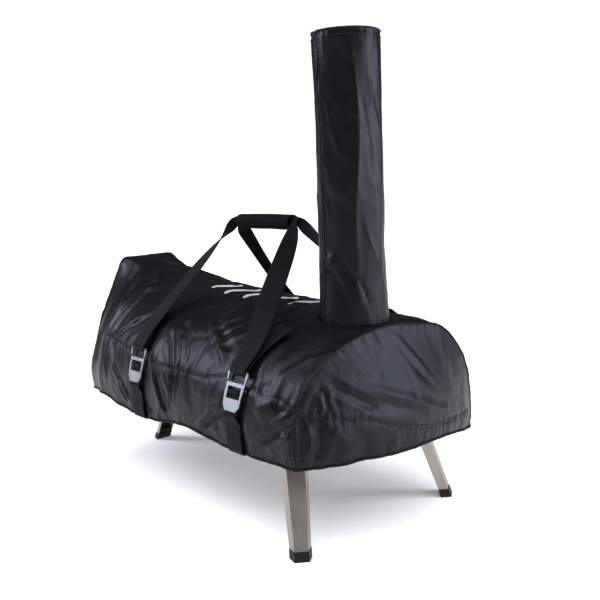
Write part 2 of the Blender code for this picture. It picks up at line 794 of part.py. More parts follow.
def chimney():
    """Collar, pipe, cap, baffle and its knob."""
    roof = CASING_CROWN + GAP
    inner = PIPE_R + GAP
    collar = [
        (inner, roof),
        (inner + 0.0055, roof),
        (inner + 0.0055, roof + SHEET),
        (inner + SHEET, roof + SHEET),
        (inner + SHEET, roof + 0.022),
        (inner, roof + 0.022),
    ]
    turned("chimney_collar", collar, steel(), (0, CHIMNEY_Y, 0), height=casing_lift)
    low = CASING_CROWN - 0.018
    pipe = turned(
        "chimney_pipe",
        [(PIPE_R - SHEET, low), (PIPE_R, low), (PIPE_R, PIPE_TOP), (PIPE_R - SHEET, PIPE_TOP)],
        steel(),
        (0, CHIMNEY_Y, 0),
    )
    shaft = 0.003
    hole = rod("cut_shaft", shaft + GAP, (-0.08, CHIMNEY_Y, BAFFLE_Z), (0.08, CHIMNEY_Y, BAFFLE_Z), None, 16)
    boolean(pipe, hole)
    skirt = PIPE_R + GAP
    cap = turned(
        "chimney_cap",
        [
            (0.002, CAP_TOP - SHEET),
            (skirt, CAP_TOP - SHEET),
            (skirt, CAP_TOP - 0.022),
            (skirt + SHEET, CAP_TOP - 0.022),
            (skirt + SHEET, CAP_TOP),
            (0.002, CAP_TOP),
        ],
        steel(),
        (0, CHIMNEY_Y, 0),
    )
    plug = rod("join_cap", 0.004, (0, CHIMNEY_Y, CAP_TOP - SHEET), (0, CHIMNEY_Y, CAP_TOP), None, 16)
    boolean(cap, plug, "UNION")
    disc = rod("baffle_disc", PIPE_R - 0.0035, (0, -0.0006, 0), (0, 0.0006, 0), steel(), SMOOTH_SIDES)
    disc.location = (0, CHIMNEY_Y, BAFFLE_Z)
    axle = rod("join_axle", shaft, (-PIPE_R - 0.0035, 0, 0), (PIPE_R, 0, 0), None, 16)
    axle.location = disc.location
    boolean(disc, axle, "UNION")
    knob = turned(
        "baffle_knob",
        [(shaft + GAP, 0.0), (0.0080, 0.0), (0.0080, 0.0028), (shaft + GAP, 0.0028)],
        dark_steel(),
        axis="X",
        sides=24,
    )
    knob.location = (-PIPE_R - 0.0031, CHIMNEY_Y, BAFFLE_Z)


def fuel_end():
    """Burner box behind the oven with its sloping lid, grate and tray."""
    wall = SHEET
    front = OVEN_REAR + GAP + SHEET + GAP + GAP
    rings = []
    outside = ((0.0, False, False), (0.0, True, False))
    inside = ((wall, True, False), (wall, False, True))
    for grow, floor, top in outside + inside:
        x = FUEL_HALF - grow
        ring = []
        near = front + grow
        far = FUEL_REAR - grow
        for px, py in ((x, near), (x, far), (-x, far), (-x, near)):
            if floor:
                z = FUEL_TOP + (py - OVEN_REAR) * FUEL_SLOPE
            else:
                z = BASE_Z + wall if top else BASE_Z
            ring.append((px, py, z))
        rings.append(ring)
    box = skin("fuel_box", rings, dark_steel())
    boolean(box, block("cut_flame", (-0.050, front - 0.01, 0.206), (0.050, front + 0.01, 0.268), None))
    floor_z = BASE_Z + wall + GAP
    tray("fuel_tray", (FUEL_HALF - 0.004, 0.058), 0.004, floor_z, 0.204, wall, steel(), (0.0, 0.302))
    grate_x = FUEL_HALF - 0.003
    grate = block("fuel_grate", (-grate_x, 0.242, 0.2045), (grate_x, 0.362, 0.2060), steel())
    for index in range(6):
        x = -0.045 + 0.018 * index
        boolean(grate, block(f"cut_grate_{index}", (x - 0.003, 0.255, 0.19), (x + 0.003, 0.350, 0.22), None))
    # the lid is drawn level about its front edge, then laid on the slope
    depth = (FUEL_REAR - front) * math.hypot(1, FUEL_SLOPE)
    lid = tray(
        "hatch_lid",
        (FUEL_HALF + FIT + wall, depth / 2 + 2 * FIT + wall),
        0.002,
        -0.0012,
        0.005,
        wall,
        dark_steel(),
        (0.0, depth / 2),
    )
    lid.data.transform(Matrix.Rotation(math.pi, 4, "Y"))
    slope = math.atan(FUEL_SLOPE)
    seat = Vector((0, front, FUEL_TOP + (front - OVEN_REAR) * FUEL_SLOPE + FIT))
    pose = Matrix.Translation(seat) @ Matrix.Rotation(slope, 4, "X")
    lid.data.transform(pose)
    knob_y = depth * 0.55
    knob = rod("hatch_knob", 0.012, (0, knob_y, wall + GAP), (0, knob_y, 0.0075), dark_steel(), 24)
    knob.data.transform(pose)
    hatch_hinge(box, lid, seat)


def hatch_hinge(box, lid, seat):
    """Pin across two ears on the fuel box, and the lid's two knuckles on it."""
    y = seat.y - 0.0096
    z = seat.z - 0.0123
    eye = 0.0045
    for index, sign in enumerate((-1, 1)):
        ear_low = min(sign * 0.0590, sign * 0.0615)
        low = (ear_low, y - 0.005, z - 0.005)
        high = (ear_low + 0.0025, seat.y + 0.003, z + 0.0048)
        ear = block(f"join_hatch_ear_{index}", low, high, None)
        boolean(box, ear, "UNION")
        x = sign * 0.040
        half = 0.007
        tab = [
            (y - 0.0035, z + 0.0005),
            (y + 0.0030, z + 0.0005),
            (seat.y - 0.0014, seat.z - 0.0034),
            (seat.y - 0.0014, seat.z + 0.0005),
            (seat.y - 0.0045, seat.z - 0.0008),
            (y - 0.0035, z + 0.0045),
        ]
        rings = [[(px, ty, tz) for ty, tz in tab] for px in (x - half, x + half)]
        boolean(lid, skin(f"join_hatch_tab_{index}", rings, None), "UNION")
        knuckle = rod(f"join_hatch_knuckle_{index}", eye, (x - half, y, z), (x + half, y, z), None, 20)
        boolean(lid, knuckle, "UNION")
    pin_hole = rod("cut_hatch_pin", PIN_R - 0.0005 + GAP, (-0.08, y, z), (0.08, y, z), None, 16)
    boolean(box, pin_hole)
    boolean(lid, pin_hole)
    rod("hatch_pin", PIN_R - 0.0005, (-0.0630, y, z), (0.0630, y, z), steel(), 16)


# ---------------------------------------------------------------- legs
def leg_frame(name):
    """Pin point, direction down the leg, sideways and outward directions."""
    foot = Vector((*LEG_FOOT[name], 0.0))
    lean = Vector((*LEG_LEAN[name], 0.0))
    pin = foot - lean + Vector((0, 0, PIVOT_Z))
    down = (foot - pin).normalized()
    side = Vector((0, 0, 1)).cross(lean).normalized()
    out = side.cross(down)
    if out.dot(lean) < 0:
        out = -out
    return pin, down, side, out


def channel(name, share, grow=0.0):
    """Half outline of the leg's channel at a share of its length, as (sideways, outward) pairs."""
    face = LEG_TOP_FACE + (LEG_END_FACE - LEG_TOP_FACE) * share - grow
    opening = LEG_TOP_OPEN + (LEG_END_OPEN - LEG_TOP_OPEN) * share - grow
    outward = LEG_TOP_OUT + (LEG_END_OUT - LEG_TOP_OUT) * share - grow
    inward = -(LEG_TOP_IN + (LEG_END_IN - LEG_TOP_IN) * share)
    return face, opening, outward, inward


def leg_ring(name, share, wall):
    """Points of the open channel's section at a share of the leg's length, in the leg's own axes."""
    face, opening, outward, inward = channel(name, share)
    inner_face, inner_open, inner_out, _ = channel(name, share, wall)
    right = [(opening, inward), (face, outward)]
    left = [(-face, outward), (-opening, inward)]
    back_left = [(-inner_open, inward), (-inner_face, inner_out)]
    back_right = [(inner_face, inner_out), (inner_open, inward)]
    return right + left + back_left + back_right


def at_height(low, high, z):
    """The point at height z on the line through two points."""
    share = (z - low.z) / (high.z - low.z)
    return low.lerp(high, share)


def leg(name):
    """Folded steel channel leg, its plastic foot, hinge bracket and pin."""
    pin, down, side, out = leg_frame(name)
    length = PIVOT_Z / -down.z

    def place(along, pair):
        return pin + down * along + side * pair[0] + out * pair[1]

    top = [place(-LEG_OVER, p) for p in leg_ring(name, -LEG_OVER / length, LEG_SHEET)]
    end = [place(length, p) for p in leg_ring(name, 1.0, LEG_SHEET)]
    end = [at_height(a, b, FOOT_HEIGHT + GAP) for a, b in zip(end, top)]
    leg_obj = skin("leg_" + name, [[p - pin for p in end], [p - pin for p in top]], steel(), location=pin)
    shaft = rod("cut_pin_" + name, PIN_R + GAP, pin - side * 0.04, pin + side * 0.04, None, 16)
    boolean(leg_obj, shaft)
    leg_foot(name, place, length)
    ear = 0.011
    rod("hinge_pin_" + name, PIN_R, pin - side * 0.0215, pin + side * 0.0215, steel(), 16)
    bracket(name, pin, side, ear)


def leg_foot(name, place, length):
    """Plastic cap under the leg, with a plug that goes up inside the channel."""
    grow = -0.0012
    face, opening, outward, inward = channel(name, 1.0, grow)
    outer = [(opening, inward - 0.001), (face, outward), (-face, outward), (-opening, inward - 0.001)]
    inset = LEG_SHEET + FIT
    face, opening, outward, inward = channel(name, 1.0, inset)
    plug = [(opening, inward + 0.0005), (face, outward), (-face, outward), (-opening, inward + 0.0005)]
    rings = []
    for outline, z in ((outer, 0.0), (outer, FOOT_HEIGHT), (plug, FOOT_HEIGHT), (plug, FOOT_HEIGHT + 0.010)):
        rings.append([at_height(place(length * 1.1, p), place(length * 0.8, p), z) for p in outline])
    skin("foot_cap_" + name, rings, finish((0.012, 0.012, 0.012), 0.55, 0.0))


def bracket(name, pin, side, ear):
    """Hinge bracket: a flange under the oven with two ears that carry the pin."""
    top = BASE_Z - GAP
    flange_low = top - 0.002
    forward = Vector((0, 0, 1)).cross(side)
    thick = 0.002
    corners = ((1, 1), (-1, 1), (-1, -1), (1, -1))
    rings = []
    for z in (flange_low, top):
        base = Vector((pin.x, pin.y, z))
        rings.append([base + side * sx * 0.0125 + forward * sy * 0.016 for sx, sy in corners])
    flange = skin("bracket_" + name, rings, steel())
    outline = [(0.0035, flange_low + 0.001), (-0.0035, flange_low + 0.001)]
    for step in range(9):
        angle = math.pi + math.pi * step / 8
        outline.append((0.0065 * math.cos(angle), pin.z + 0.0065 * math.sin(angle)))
    for index, sign in enumerate((-1, 1)):
        sheet = []
        for off in (ear, ear - thick):
            base = Vector((pin.x, pin.y, 0)) + side * sign * off
            sheet.append([base + forward * x + Vector((0, 0, z)) for x, z in outline])
        boolean(flange, skin(f"join_ear_{index}_{name}", sheet, None), "UNION")
    boolean(flange, rod("cut_bracket_" + name, PIN_R + GAP, pin - side * 0.03, pin + side * 0.03, None, 16))


def build():
    """Makes every piece."""
    clear_scene()
    oven_shell()
    stone_set()
    front_end()
    chimney()
    fuel_end()
    for name in LEG_FOOT:
        leg(name)
    cover_body()
    chimney_sleeve()
    for side in ("near", "far"):
        carry_web(side)
        for place in STRAP_YS:
            buckle(side, place)
            strap_end(side, place)
    for place in STRAP_YS:
        belly_strap(place)
    grip_wrap()


build()
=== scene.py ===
"""Looks of a portable wood fired pizza oven that stands in its fitted carry cover.

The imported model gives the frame: every piece made here rides on one of its bodies. The cover is a
sewn shell of coated cloth with a sleeve for the chimney, four hook buckles, two carry webs and a
padded grip. Sizes are in metres, with +Z up and the oven's mouth towards -Y.
"""

from __future__ import annotations

import json
import logging
import math
from dataclasses import dataclass, field
from enum import Enum

import bmesh
import bpy
import numpy as np
from mathutils import Matrix, Vector
from mathutils.bvhtree import BVHTree

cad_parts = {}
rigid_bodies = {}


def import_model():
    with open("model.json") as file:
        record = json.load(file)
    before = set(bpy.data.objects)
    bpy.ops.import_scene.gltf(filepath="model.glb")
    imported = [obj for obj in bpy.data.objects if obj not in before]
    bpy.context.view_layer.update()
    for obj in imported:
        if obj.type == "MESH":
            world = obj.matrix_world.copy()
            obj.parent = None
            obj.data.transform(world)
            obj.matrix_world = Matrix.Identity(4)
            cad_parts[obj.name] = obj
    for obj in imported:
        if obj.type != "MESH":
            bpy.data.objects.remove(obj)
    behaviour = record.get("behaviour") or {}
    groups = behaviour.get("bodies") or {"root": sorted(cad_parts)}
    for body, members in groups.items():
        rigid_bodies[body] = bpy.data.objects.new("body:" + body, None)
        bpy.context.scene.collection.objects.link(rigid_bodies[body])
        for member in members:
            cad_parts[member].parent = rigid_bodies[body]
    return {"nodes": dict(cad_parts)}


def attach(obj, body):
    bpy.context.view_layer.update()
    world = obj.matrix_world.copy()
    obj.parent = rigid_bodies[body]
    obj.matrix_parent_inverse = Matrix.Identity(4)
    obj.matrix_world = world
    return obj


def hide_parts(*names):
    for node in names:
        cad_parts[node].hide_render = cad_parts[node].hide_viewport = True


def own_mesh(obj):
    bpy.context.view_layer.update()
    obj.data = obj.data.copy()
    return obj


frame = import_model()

LOG = logging.getLogger("oven_looks")
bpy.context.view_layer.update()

Colour = tuple[float, float, float, float]
Array = np.ndarray


def linear(code: str) -> Colour:
    """Turn an sRGB hex colour into linear light.

    Args:
        code: six hex digits, with or without a leading hash.

    Returns:
        Linear red, green, blue and an alpha of one.
    """
    digits = code.lstrip("#")
    parts = [int(digits[i : i + 2], 16) / 255 for i in (0, 2, 4)]
    light = [p / 12.92 if p <= 0.04045 else ((p + 0.055) / 1.055) ** 2.4 for p in parts]
    return (light[0], light[1], light[2], 1.0)


def add_node(
    tree: bpy.types.NodeTree, kind: str, settings: dict | None = None, inputs: dict | None = None
) -> bpy.types.Node:
    """Add one node with its settings, values and links.

    Args:
        tree: the node tree that takes it.
        kind: the node's type name.
        settings: properties of the node itself.
        inputs: socket name or index to a value, or to the output socket that feeds it.

    Returns:
        The new node.
    """
    node = tree.nodes.new(kind)
    for name, value in (settings or {}).items():
        setattr(node, name, value)
    for name, value in (inputs or {}).items():
        socket = node.inputs[name]
        if isinstance(value, bpy.types.NodeSocket):
            tree.links.new(value, socket)
        else:
            socket.default_value = value
    return node


# ---------------------------------------------------------------- finishes
@dataclass(frozen=True)
class Finish:
    """A named surface finish; its subclasses draw their own grain."""

    name: str
    colour: str
    roughness: float
    metallic: float = 0.0
    ior: float = 1.5
    sheen: float = 0.0
    coat: float = 0.0
    specular: float = 0.5
    glow: float = 0.0

    def pattern(self, tree: bpy.types.NodeTree, shader: bpy.types.Node) -> None:
        """Leave the finish plain; a subclass adds its grain here."""

    def material(self) -> bpy.types.Material:
        """Build the material once and hand back the same one after that."""
        known = bpy.data.materials.get(self.name)
        if known is not None:
            return known
        made = bpy.data.materials.new(self.name)
        made.use_nodes = True
        made.diffuse_color = linear(self.colour)
        tree = made.node_tree
        tree.nodes.clear()
        shader = add_node(
            tree,
            "ShaderNodeBsdfPrincipled",
            inputs={
                "Base Color": linear(self.colour),
                "Roughness": self.roughness,
                "Metallic": self.metallic,
                "Sheen Weight": self.sheen,
                "Coat Weight": self.coat,
                "Emission Color": (1.0, 1.0, 1.0, 1.0),
                "Emission Strength": self.glow,
            },
        )
        if self.metallic < 0.5:
            shader.inputs["IOR"].default_value = self.ior
            shader.inputs["Specular IOR Level"].default_value = self.specular
        add_node(tree, "ShaderNodeOutputMaterial", inputs={"Surface": shader.outputs["BSDF"]})
        self.pattern(tree, shader)
        return made


def place(
    tree: bpy.types.NodeTree, scale: tuple[float, float, float], source: str = "Object"
) -> bpy.types.NodeSocket:
    """Give scaled coordinates to a pattern.

    Args:
        tree: the node tree.
        scale: repeats per metre along each axis.
        source: Object for places on the piece, UV for places along the cloth.

    Returns:
        The mapped vector.
    """
    where = add_node(tree, "ShaderNodeTexCoord")
    mapped = add_node(tree, "ShaderNodeMapping", inputs={"Vector": where.outputs[source], "Scale": scale})
    return mapped.outputs["Vector"]


def spread(
    tree: bpy.types.NodeTree, value: bpy.types.NodeSocket, low: float, high: float
) -> bpy.types.NodeSocket:
    """Map a pattern's 0..1 onto a range of values.

    Args:
        tree: the node tree.
        value: the pattern.
        low: what 0 becomes.
        high: what 1 becomes.

    Returns:
        The mapped value.
    """
    node = add_node(tree, "ShaderNodeMapRange", inputs={"Value": value, "To Min": low, "To Max": high})
    return node.outputs["Result"]


def tint(
    tree: bpy.types.NodeTree, value: bpy.types.NodeSocket, first: str, second: str
) -> bpy.types.NodeSocket:
    """Blend two hex colours by a pattern.

    Args:
        tree: the node tree.
        value: 0 for the first colour, 1 for the second.
        first: hex colour.
        second: hex colour.

    Returns:
        The colour.
    """
    ramp = add_node(tree, "ShaderNodeValToRGB", inputs={"Fac": value})
    ramp.color_ramp.elements[0].color = linear(first)
    ramp.color_ramp.elements[1].color = linear(second)
    return ramp.outputs["Color"]


def relief(
    tree: bpy.types.NodeTree,
    height: bpy.types.NodeSocket,
    depth: float,
    strength: float = 1.0,
    under: bpy.types.NodeSocket | None = None,
) -> bpy.types.NodeSocket:
    """Turn a pattern into surface relief.

    Args:
        tree: the node tree.
        height: the pattern, 0..1.
        depth: the pattern's depth in metres.
        strength: share of the relief that shows.
        under: relief that this one lies on.

    Returns:
        The bent normal.
    """
    inputs: dict = {"Height": height, "Distance": depth, "Strength": strength}
    if under is not None:
        inputs["Normal"] = under
    return add_node(tree, "ShaderNodeBump", inputs=inputs).outputs["Normal"]


@dataclass(frozen=True)
class CoatedCloth(Finish):
    """Polyurethane-coated polyester: near black, half glossy, finely crumpled over a plain weave."""

    weave_mm: float = 1.5  # the real 0.4 mm weave is too fine to show, so it is drawn this coarse
    crumple_mm: float = 17.0

    def pattern(self, tree: bpy.types.NodeTree, shader: bpy.types.Node) -> None:
        """Add small creases, a hint of weave, and patches where the coating is rubbed duller."""
        large = 1000.0 / self.crumple_mm
        warp = add_node(
            tree,
            "ShaderNodeTexNoise",
            inputs={"Vector": place(tree, (large * 0.6,) * 3), "Scale": 1.0, "Detail": 3.0},
        )
        bent = add_node(
            tree,
            "ShaderNodeVectorMath",
            {"operation": "MULTIPLY_ADD"},
            {0: warp.outputs["Color"], 1: (0.9, 0.9, 0.9), 2: place(tree, (large, large, large * 0.7))},
        )
        cells = add_node(
            tree,
            "ShaderNodeTexVoronoi",
            {"feature": "F1"},
            {"Vector": bent.outputs[0], "Scale": 0.55, "Randomness": 1.0},
        )
        fine = add_node(
            tree,
            "ShaderNodeTexNoise",
            inputs={"Vector": place(tree, (190, 190, 150)), "Scale": 1.0, "Detail": 4.0, "Roughness": 0.6},
        )
        count = 1000.0 / self.weave_mm
        weave = add_node(
            tree,
            "ShaderNodeTexWave",
            {"bands_direction": "X"},
            {"Vector": place(tree, (count, count, 1), "UV"), "Scale": 0.16},
        )
        weft = add_node(
            tree,
            "ShaderNodeTexWave",
            {"bands_direction": "Y"},
            {"Vector": place(tree, (count, count, 1), "UV"), "Scale": 0.16},
        )
        cross = add_node(
            tree,
            "ShaderNodeMath",
            {"operation": "MULTIPLY"},
            {0: weave.outputs["Fac"], 1: weft.outputs["Fac"]},
        )
        step = relief(tree, cells.outputs["Distance"], 0.0014, 0.24)
        step = relief(tree, fine.outputs["Fac"], 0.0008, 0.3, step)
        step = relief(tree, cross.outputs[0], 0.0002, 0.35, step)
        tree.links.new(step, shader.inputs["Normal"])
        patches = add_node(
            tree,
            "ShaderNodeTexNoise",
            inputs={"Vector": place(tree, (9, 9, 9)), "Scale": 1.0, "Detail": 3.0},
        )
        rough = spread(tree, patches.outputs["Fac"], self.roughness - 0.07, self.roughness + 0.09)
        tree.links.new(rough, shader.inputs["Roughness"])
        tree.links.new(
            tint(tree, patches.outputs["Fac"], "#0a0b0e", self.colour), shader.inputs["Base Color"]
        )


@dataclass(frozen=True)
class Webbing(Finish):
    """Woven polyester strap: matt black herringbone with a faint lint bloom."""

    rib_mm: float = 2.4  # a real rib is 1.2 mm, drawn twice as coarse to show

    def pattern(self, tree: bpy.types.NodeTree, shader: bpy.types.Node) -> None:
        """Add slanting ribs that turn at the middle of the strap, and painted shade that darkens the rib
        valleys.
        """
        rate = 1000.0 / self.rib_mm
        where = add_node(tree, "ShaderNodeTexCoord")
        parts = add_node(tree, "ShaderNodeSeparateXYZ", inputs={0: where.outputs["UV"]})
        zigzag = add_node(
            tree, "ShaderNodeMath", {"operation": "PINGPONG"}, {0: parts.outputs["X"], 1: 0.0048}
        )
        joined = add_node(
            tree, "ShaderNodeMath", {"operation": "ADD"}, {0: parts.outputs["Y"], 1: zigzag.outputs[0]}
        )
        turns = add_node(
            tree, "ShaderNodeMath", {"operation": "MULTIPLY"}, {0: joined.outputs[0], 1: rate * 2 * math.pi}
        )
        ribs = add_node(tree, "ShaderNodeMath", {"operation": "SINE"}, {0: turns.outputs[0]})
        height = spread(tree, ribs.outputs[0], 0.0, 1.0)
        lint = add_node(
            tree,
            "ShaderNodeTexNoise",
            inputs={"Vector": place(tree, (420, 420, 420)), "Scale": 1.0, "Detail": 2.0},
        )
        step = relief(tree, height, 0.0004, 0.6)
        step = relief(tree, lint.outputs["Fac"], 0.0003, 0.4, step)
        tree.links.new(step, shader.inputs["Normal"])
        # painted shade: the base colour follows the rib height, darker in the valleys
        tree.links.new(tint(tree, height, "#08090b", self.colour), shader.inputs["Base Color"])


@dataclass(frozen=True)
class PaddedNylon(Finish):
    """Ballistic nylon over foam: dull black, coarse basket weave."""

    weave_mm: float = 1.8

    def pattern(self, tree: bpy.types.NodeTree, shader: bpy.types.Node) -> None:
        """Add a basket weave and soft dents, with painted shade that darkens the dents."""
        rate = 1000.0 / self.weave_mm
        squares = add_node(
            tree,
            "ShaderNodeTexVoronoi",
            {"distance": "CHEBYCHEV"},
            {"Vector": place(tree, (rate, rate, rate)), "Scale": 1.0, "Randomness": 0.25},
        )
        dents = add_node(
            tree,
            "ShaderNodeTexNoise",
            inputs={"Vector": place(tree, (60, 60, 60)), "Scale": 1.0, "Detail": 3.0},
        )
        step = relief(tree, dents.outputs["Fac"], 0.0015, 0.5)
        step = relief(tree, squares.outputs["Distance"], 0.0004, 0.6, step)
        tree.links.new(step, shader.inputs["Normal"])
        # painted shade: the base colour follows the dents, darker where they sink
        tree.links.new(tint(tree, dents.outputs["Fac"], "#060708", self.colour), shader.inputs["Base Color"])


@dataclass(frozen=True)
class BrushedSteel(Finish):
    """Stainless sheet rubbed one way: warm grey with fine lines that widen the highlights."""

    lines: tuple[float, float, float] = (1500.0, 1500.0, 14.0)

    def pattern(self, tree: bpy.types.NodeTree, shader: bpy.types.Node) -> None:
        """Add rub lines, faint smudges and slow colour drift."""
        rub = add_node(
            tree,
            "ShaderNodeTexNoise",
            inputs={"Vector": place(tree, self.lines), "Scale": 1.0, "Detail": 2.0},
        )
        smudge = add_node(
            tree,
            "ShaderNodeTexNoise",
            inputs={"Vector": place(tree, (24, 24, 10)), "Scale": 1.0, "Detail": 4.0},
        )
        mixed = add_node(
            tree,
            "ShaderNodeMath",
            {"operation": "MULTIPLY_ADD"},
            {0: rub.outputs["Fac"], 1: 0.6, 2: smudge.outputs["Fac"]},
        )
        tree.links.new(
            spread(tree, mixed.outputs[0], self.roughness - 0.09, self.roughness + 0.1),
            shader.inputs["Roughness"],
        )
        tree.links.new(tint(tree, smudge.outputs["Fac"], "#8f8984", self.colour), shader.inputs["Base Color"])
        tree.links.new(relief(tree, rub.outputs["Fac"], 0.00008, 0.5), shader.inputs["Normal"])


@dataclass(frozen=True)
class SatinPlate(Finish):
    """Tumbled and anodised aluminium plate: even silver with tiny pits."""

    def pattern(self, tree: bpy.types.NodeTree, shader: bpy.types.Node) -> None:
        """Add a fine bead-blast grain and rubbed patches."""
        grain = add_node(
            tree,
            "ShaderNodeTexNoise",
            inputs={"Vector": place(tree, (1600, 1600, 1600)), "Scale": 1.0, "Detail": 3.0},
        )
        rubbed = add_node(
            tree,
            "ShaderNodeTexNoise",
            inputs={"Vector": place(tree, (90, 90, 90)), "Scale": 1.0, "Detail": 3.0},
        )
        tree.links.new(
            spread(tree, rubbed.outputs["Fac"], self.roughness - 0.06, self.roughness + 0.1),
            shader.inputs["Roughness"],
        )
        tree.links.new(tint(tree, rubbed.outputs["Fac"], "#8c8c8c", self.colour), shader.inputs["Base Color"])
        tree.links.new(relief(tree, grain.outputs["Fac"], 0.00008, 0.5), shader.inputs["Normal"])


@dataclass(frozen=True)
class PowderCoat(Finish):
    """Matt black powder coat: a soft orange peel, baked browner where it runs hot."""

    peel_mm: float = 1.1

    def pattern(self, tree: bpy.types.NodeTree, shader: bpy.types.Node) -> None:
        """Add the peel and a slow change of tone."""
        rate = 1000.0 / self.peel_mm
        peel = add_node(
            tree,
            "ShaderNodeTexNoise",
            inputs={"Vector": place(tree, (rate,) * 3), "Scale": 1.0, "Detail": 1.0},
        )
        heat = add_node(
            tree,
            "ShaderNodeTexNoise",
            inputs={"Vector": place(tree, (11, 11, 11)), "Scale": 1.0, "Detail": 3.0},
        )
        tree.links.new(relief(tree, peel.outputs["Fac"], 0.00025, 0.35), shader.inputs["Normal"])
        tree.links.new(tint(tree, heat.outputs["Fac"], "#191919", self.colour), shader.inputs["Base Color"])


@dataclass(frozen=True)
class FiredStone(Finish):
    """Pressed cordierite baking stone: tan, dry, speckled with darker grit."""

    grit_mm: float = 2.0

    def pattern(self, tree: bpy.types.NodeTree, shader: bpy.types.Node) -> None:
        """Add grit, pits and toasted clouds."""
        rate = 1000.0 / self.grit_mm
        grit = add_node(
            tree, "ShaderNodeTexVoronoi", inputs={"Vector": place(tree, (rate,) * 3), "Scale": 1.0}
        )
        cloud = add_node(
            tree,
            "ShaderNodeTexNoise",
            inputs={"Vector": place(tree, (14, 14, 14)), "Scale": 1.0, "Detail": 5.0},
        )
        mixed = add_node(
            tree,
            "ShaderNodeMath",
            {"operation": "MULTIPLY"},
            {0: grit.outputs["Distance"], 1: cloud.outputs["Fac"]},
        )
        tree.links.new(tint(tree, mixed.outputs[0], "#7a6247", self.colour), shader.inputs["Base Color"])
        tree.links.new(relief(tree, grit.outputs["Distance"], 0.0003, 0.6), shader.inputs["Normal"])


@dataclass(frozen=True)
class FibreBlanket(Finish):
    """Spun ceramic fibre: chalk white, loose and fuzzy."""

    def pattern(self, tree: bpy.types.NodeTree, shader: bpy.types.Node) -> None:
        """Add tangled fibres, with painted shade that darkens the hollows between them."""
        fibre = add_node(
            tree,
            "ShaderNodeTexNoise",
            inputs={"Vector": place(tree, (700, 90, 700)), "Scale": 1.0, "Detail": 6.0, "Distortion": 1.5},
        )
        # painted shade: the base colour follows the fibre relief, darker in its hollows
        tree.links.new(tint(tree, fibre.outputs["Fac"], "#b9b6ac", self.colour), shader.inputs["Base Color"])
        tree.links.new(relief(tree, fibre.outputs["Fac"], 0.0012, 0.8), shader.inputs["Normal"])


@dataclass(frozen=True)
class MouldedPlastic(Finish):
    """Glass-filled nylon: black, spark-eroded mould grain."""

    grain_mm: float = 0.9

    def pattern(self, tree: bpy.types.NodeTree, shader: bpy.types.Node) -> None:
        """Add the mould grain and scuffs."""
        rate = 1000.0 / self.grain_mm
        grain = add_node(
            tree,
            "ShaderNodeTexNoise",
            inputs={"Vector": place(tree, (rate,) * 3), "Scale": 1.0, "Detail": 2.0},
        )
        scuff = add_node(
            tree,
            "ShaderNodeTexNoise",
            inputs={"Vector": place(tree, (120, 120, 30)), "Scale": 1.0, "Detail": 4.0},
        )
        tree.links.new(relief(tree, grain.outputs["Fac"], 0.0001, 0.5), shader.inputs["Normal"])
        tree.links.new(
            spread(tree, scuff.outputs["Fac"], self.roughness - 0.08, self.roughness + 0.12),
            shader.inputs["Roughness"],
        )


@dataclass(frozen=True)
class ScreenInk(Finish):
    """Screen-printed ink: off white, slightly cracked where the cloth bends."""

    def pattern(self, tree: bpy.types.NodeTree, shader: bpy.types.Node) -> None:
        """Add the cloth's grain and thin spots."""
        thin = add_node(
            tree,
            "ShaderNodeTexNoise",
            inputs={"Vector": place(tree, (260, 260, 260)), "Scale": 1.0, "Detail": 4.0},
        )
        tree.links.new(tint(tree, thin.outputs["Fac"], "#9a9a9c", self.colour), shader.inputs["Base Color"])
        tree.links.new(relief(tree, thin.outputs["Fac"], 0.0003, 0.4), shader.inputs["Normal"])


CLOTH = CoatedCloth("coated_polyester", "#101218", 0.38, specular=0.32)
STRAP = Webbing("woven_webbing", "#101216", 0.70, sheen=0.03, specular=0.25)
BINDING = Webbing("binding_tape", "#0e1013", 0.65, sheen=0.03, specular=0.25, rib_mm=1.6)
GRIP = PaddedNylon("padded_nylon", "#0b0c0e", 0.75, sheen=0.02, specular=0.15)
THREAD = MouldedPlastic("bonded_thread", "#24252a", 0.55, grain_mm=0.6)
BUCKLE = SatinPlate("anodised_plate", "#aeaeae", 0.46, metallic=1.0)
STEEL = BrushedSteel("brushed_stainless", "#b9b2ac", 0.36, metallic=1.0)
STEEL_ALONG = BrushedSteel(
    "brushed_stainless_sheet", "#a19e9b", 0.34, metallic=1.0, lines=(1500.0, 14.0, 1500.0)
)
COAT = PowderCoat("black_powder_coat", "#262525", 0.62)
STONE = FiredStone("fired_stone", "#b39a78", 0.9)
BLANKET = FibreBlanket("fibre_blanket", "#e4e1d8", 0.95)
PLASTIC = MouldedPlastic("moulded_plastic", "#121214", 0.5)
INK = ScreenInk("screen_ink", "#d7d7da", 0.6)


# ---------------------------------------------------------------- mesh helpers
def piece_of(
    name: str, points: Array, faces: list, finish: Finish, smooth: bool = True, uv: Array | None = None
) -> bpy.types.Object:
    """Make a piece from points and faces.

    Args:
        name: the piece's name.
        points: its points.
        faces: its faces, as tuples of point numbers.
        finish: the finish it takes.
        smooth: whether its faces shade smoothly.
        uv: cloth coordinates of each point, in metres.

    Returns:
        The new object, at the origin.
    """
    mesh = bpy.data.meshes.new(name)
    mesh.from_pydata([tuple(map(float, p)) for p in points], [], faces)
    if uv is not None:
        layer = mesh.uv_layers.new(name="cloth")
        order = np.zeros(len(mesh.loops), np.int64)
        mesh.loops.foreach_get("vertex_index", order)
        layer.data.foreach_set("uv", np.asarray(uv, np.float32)[order].ravel())
    mesh.polygons.foreach_set("use_smooth", [smooth] * len(mesh.polygons))
    mesh.materials.append(finish.material())
    made = bpy.data.objects.new(name, mesh)
    bpy.context.scene.collection.objects.link(made)
    return made


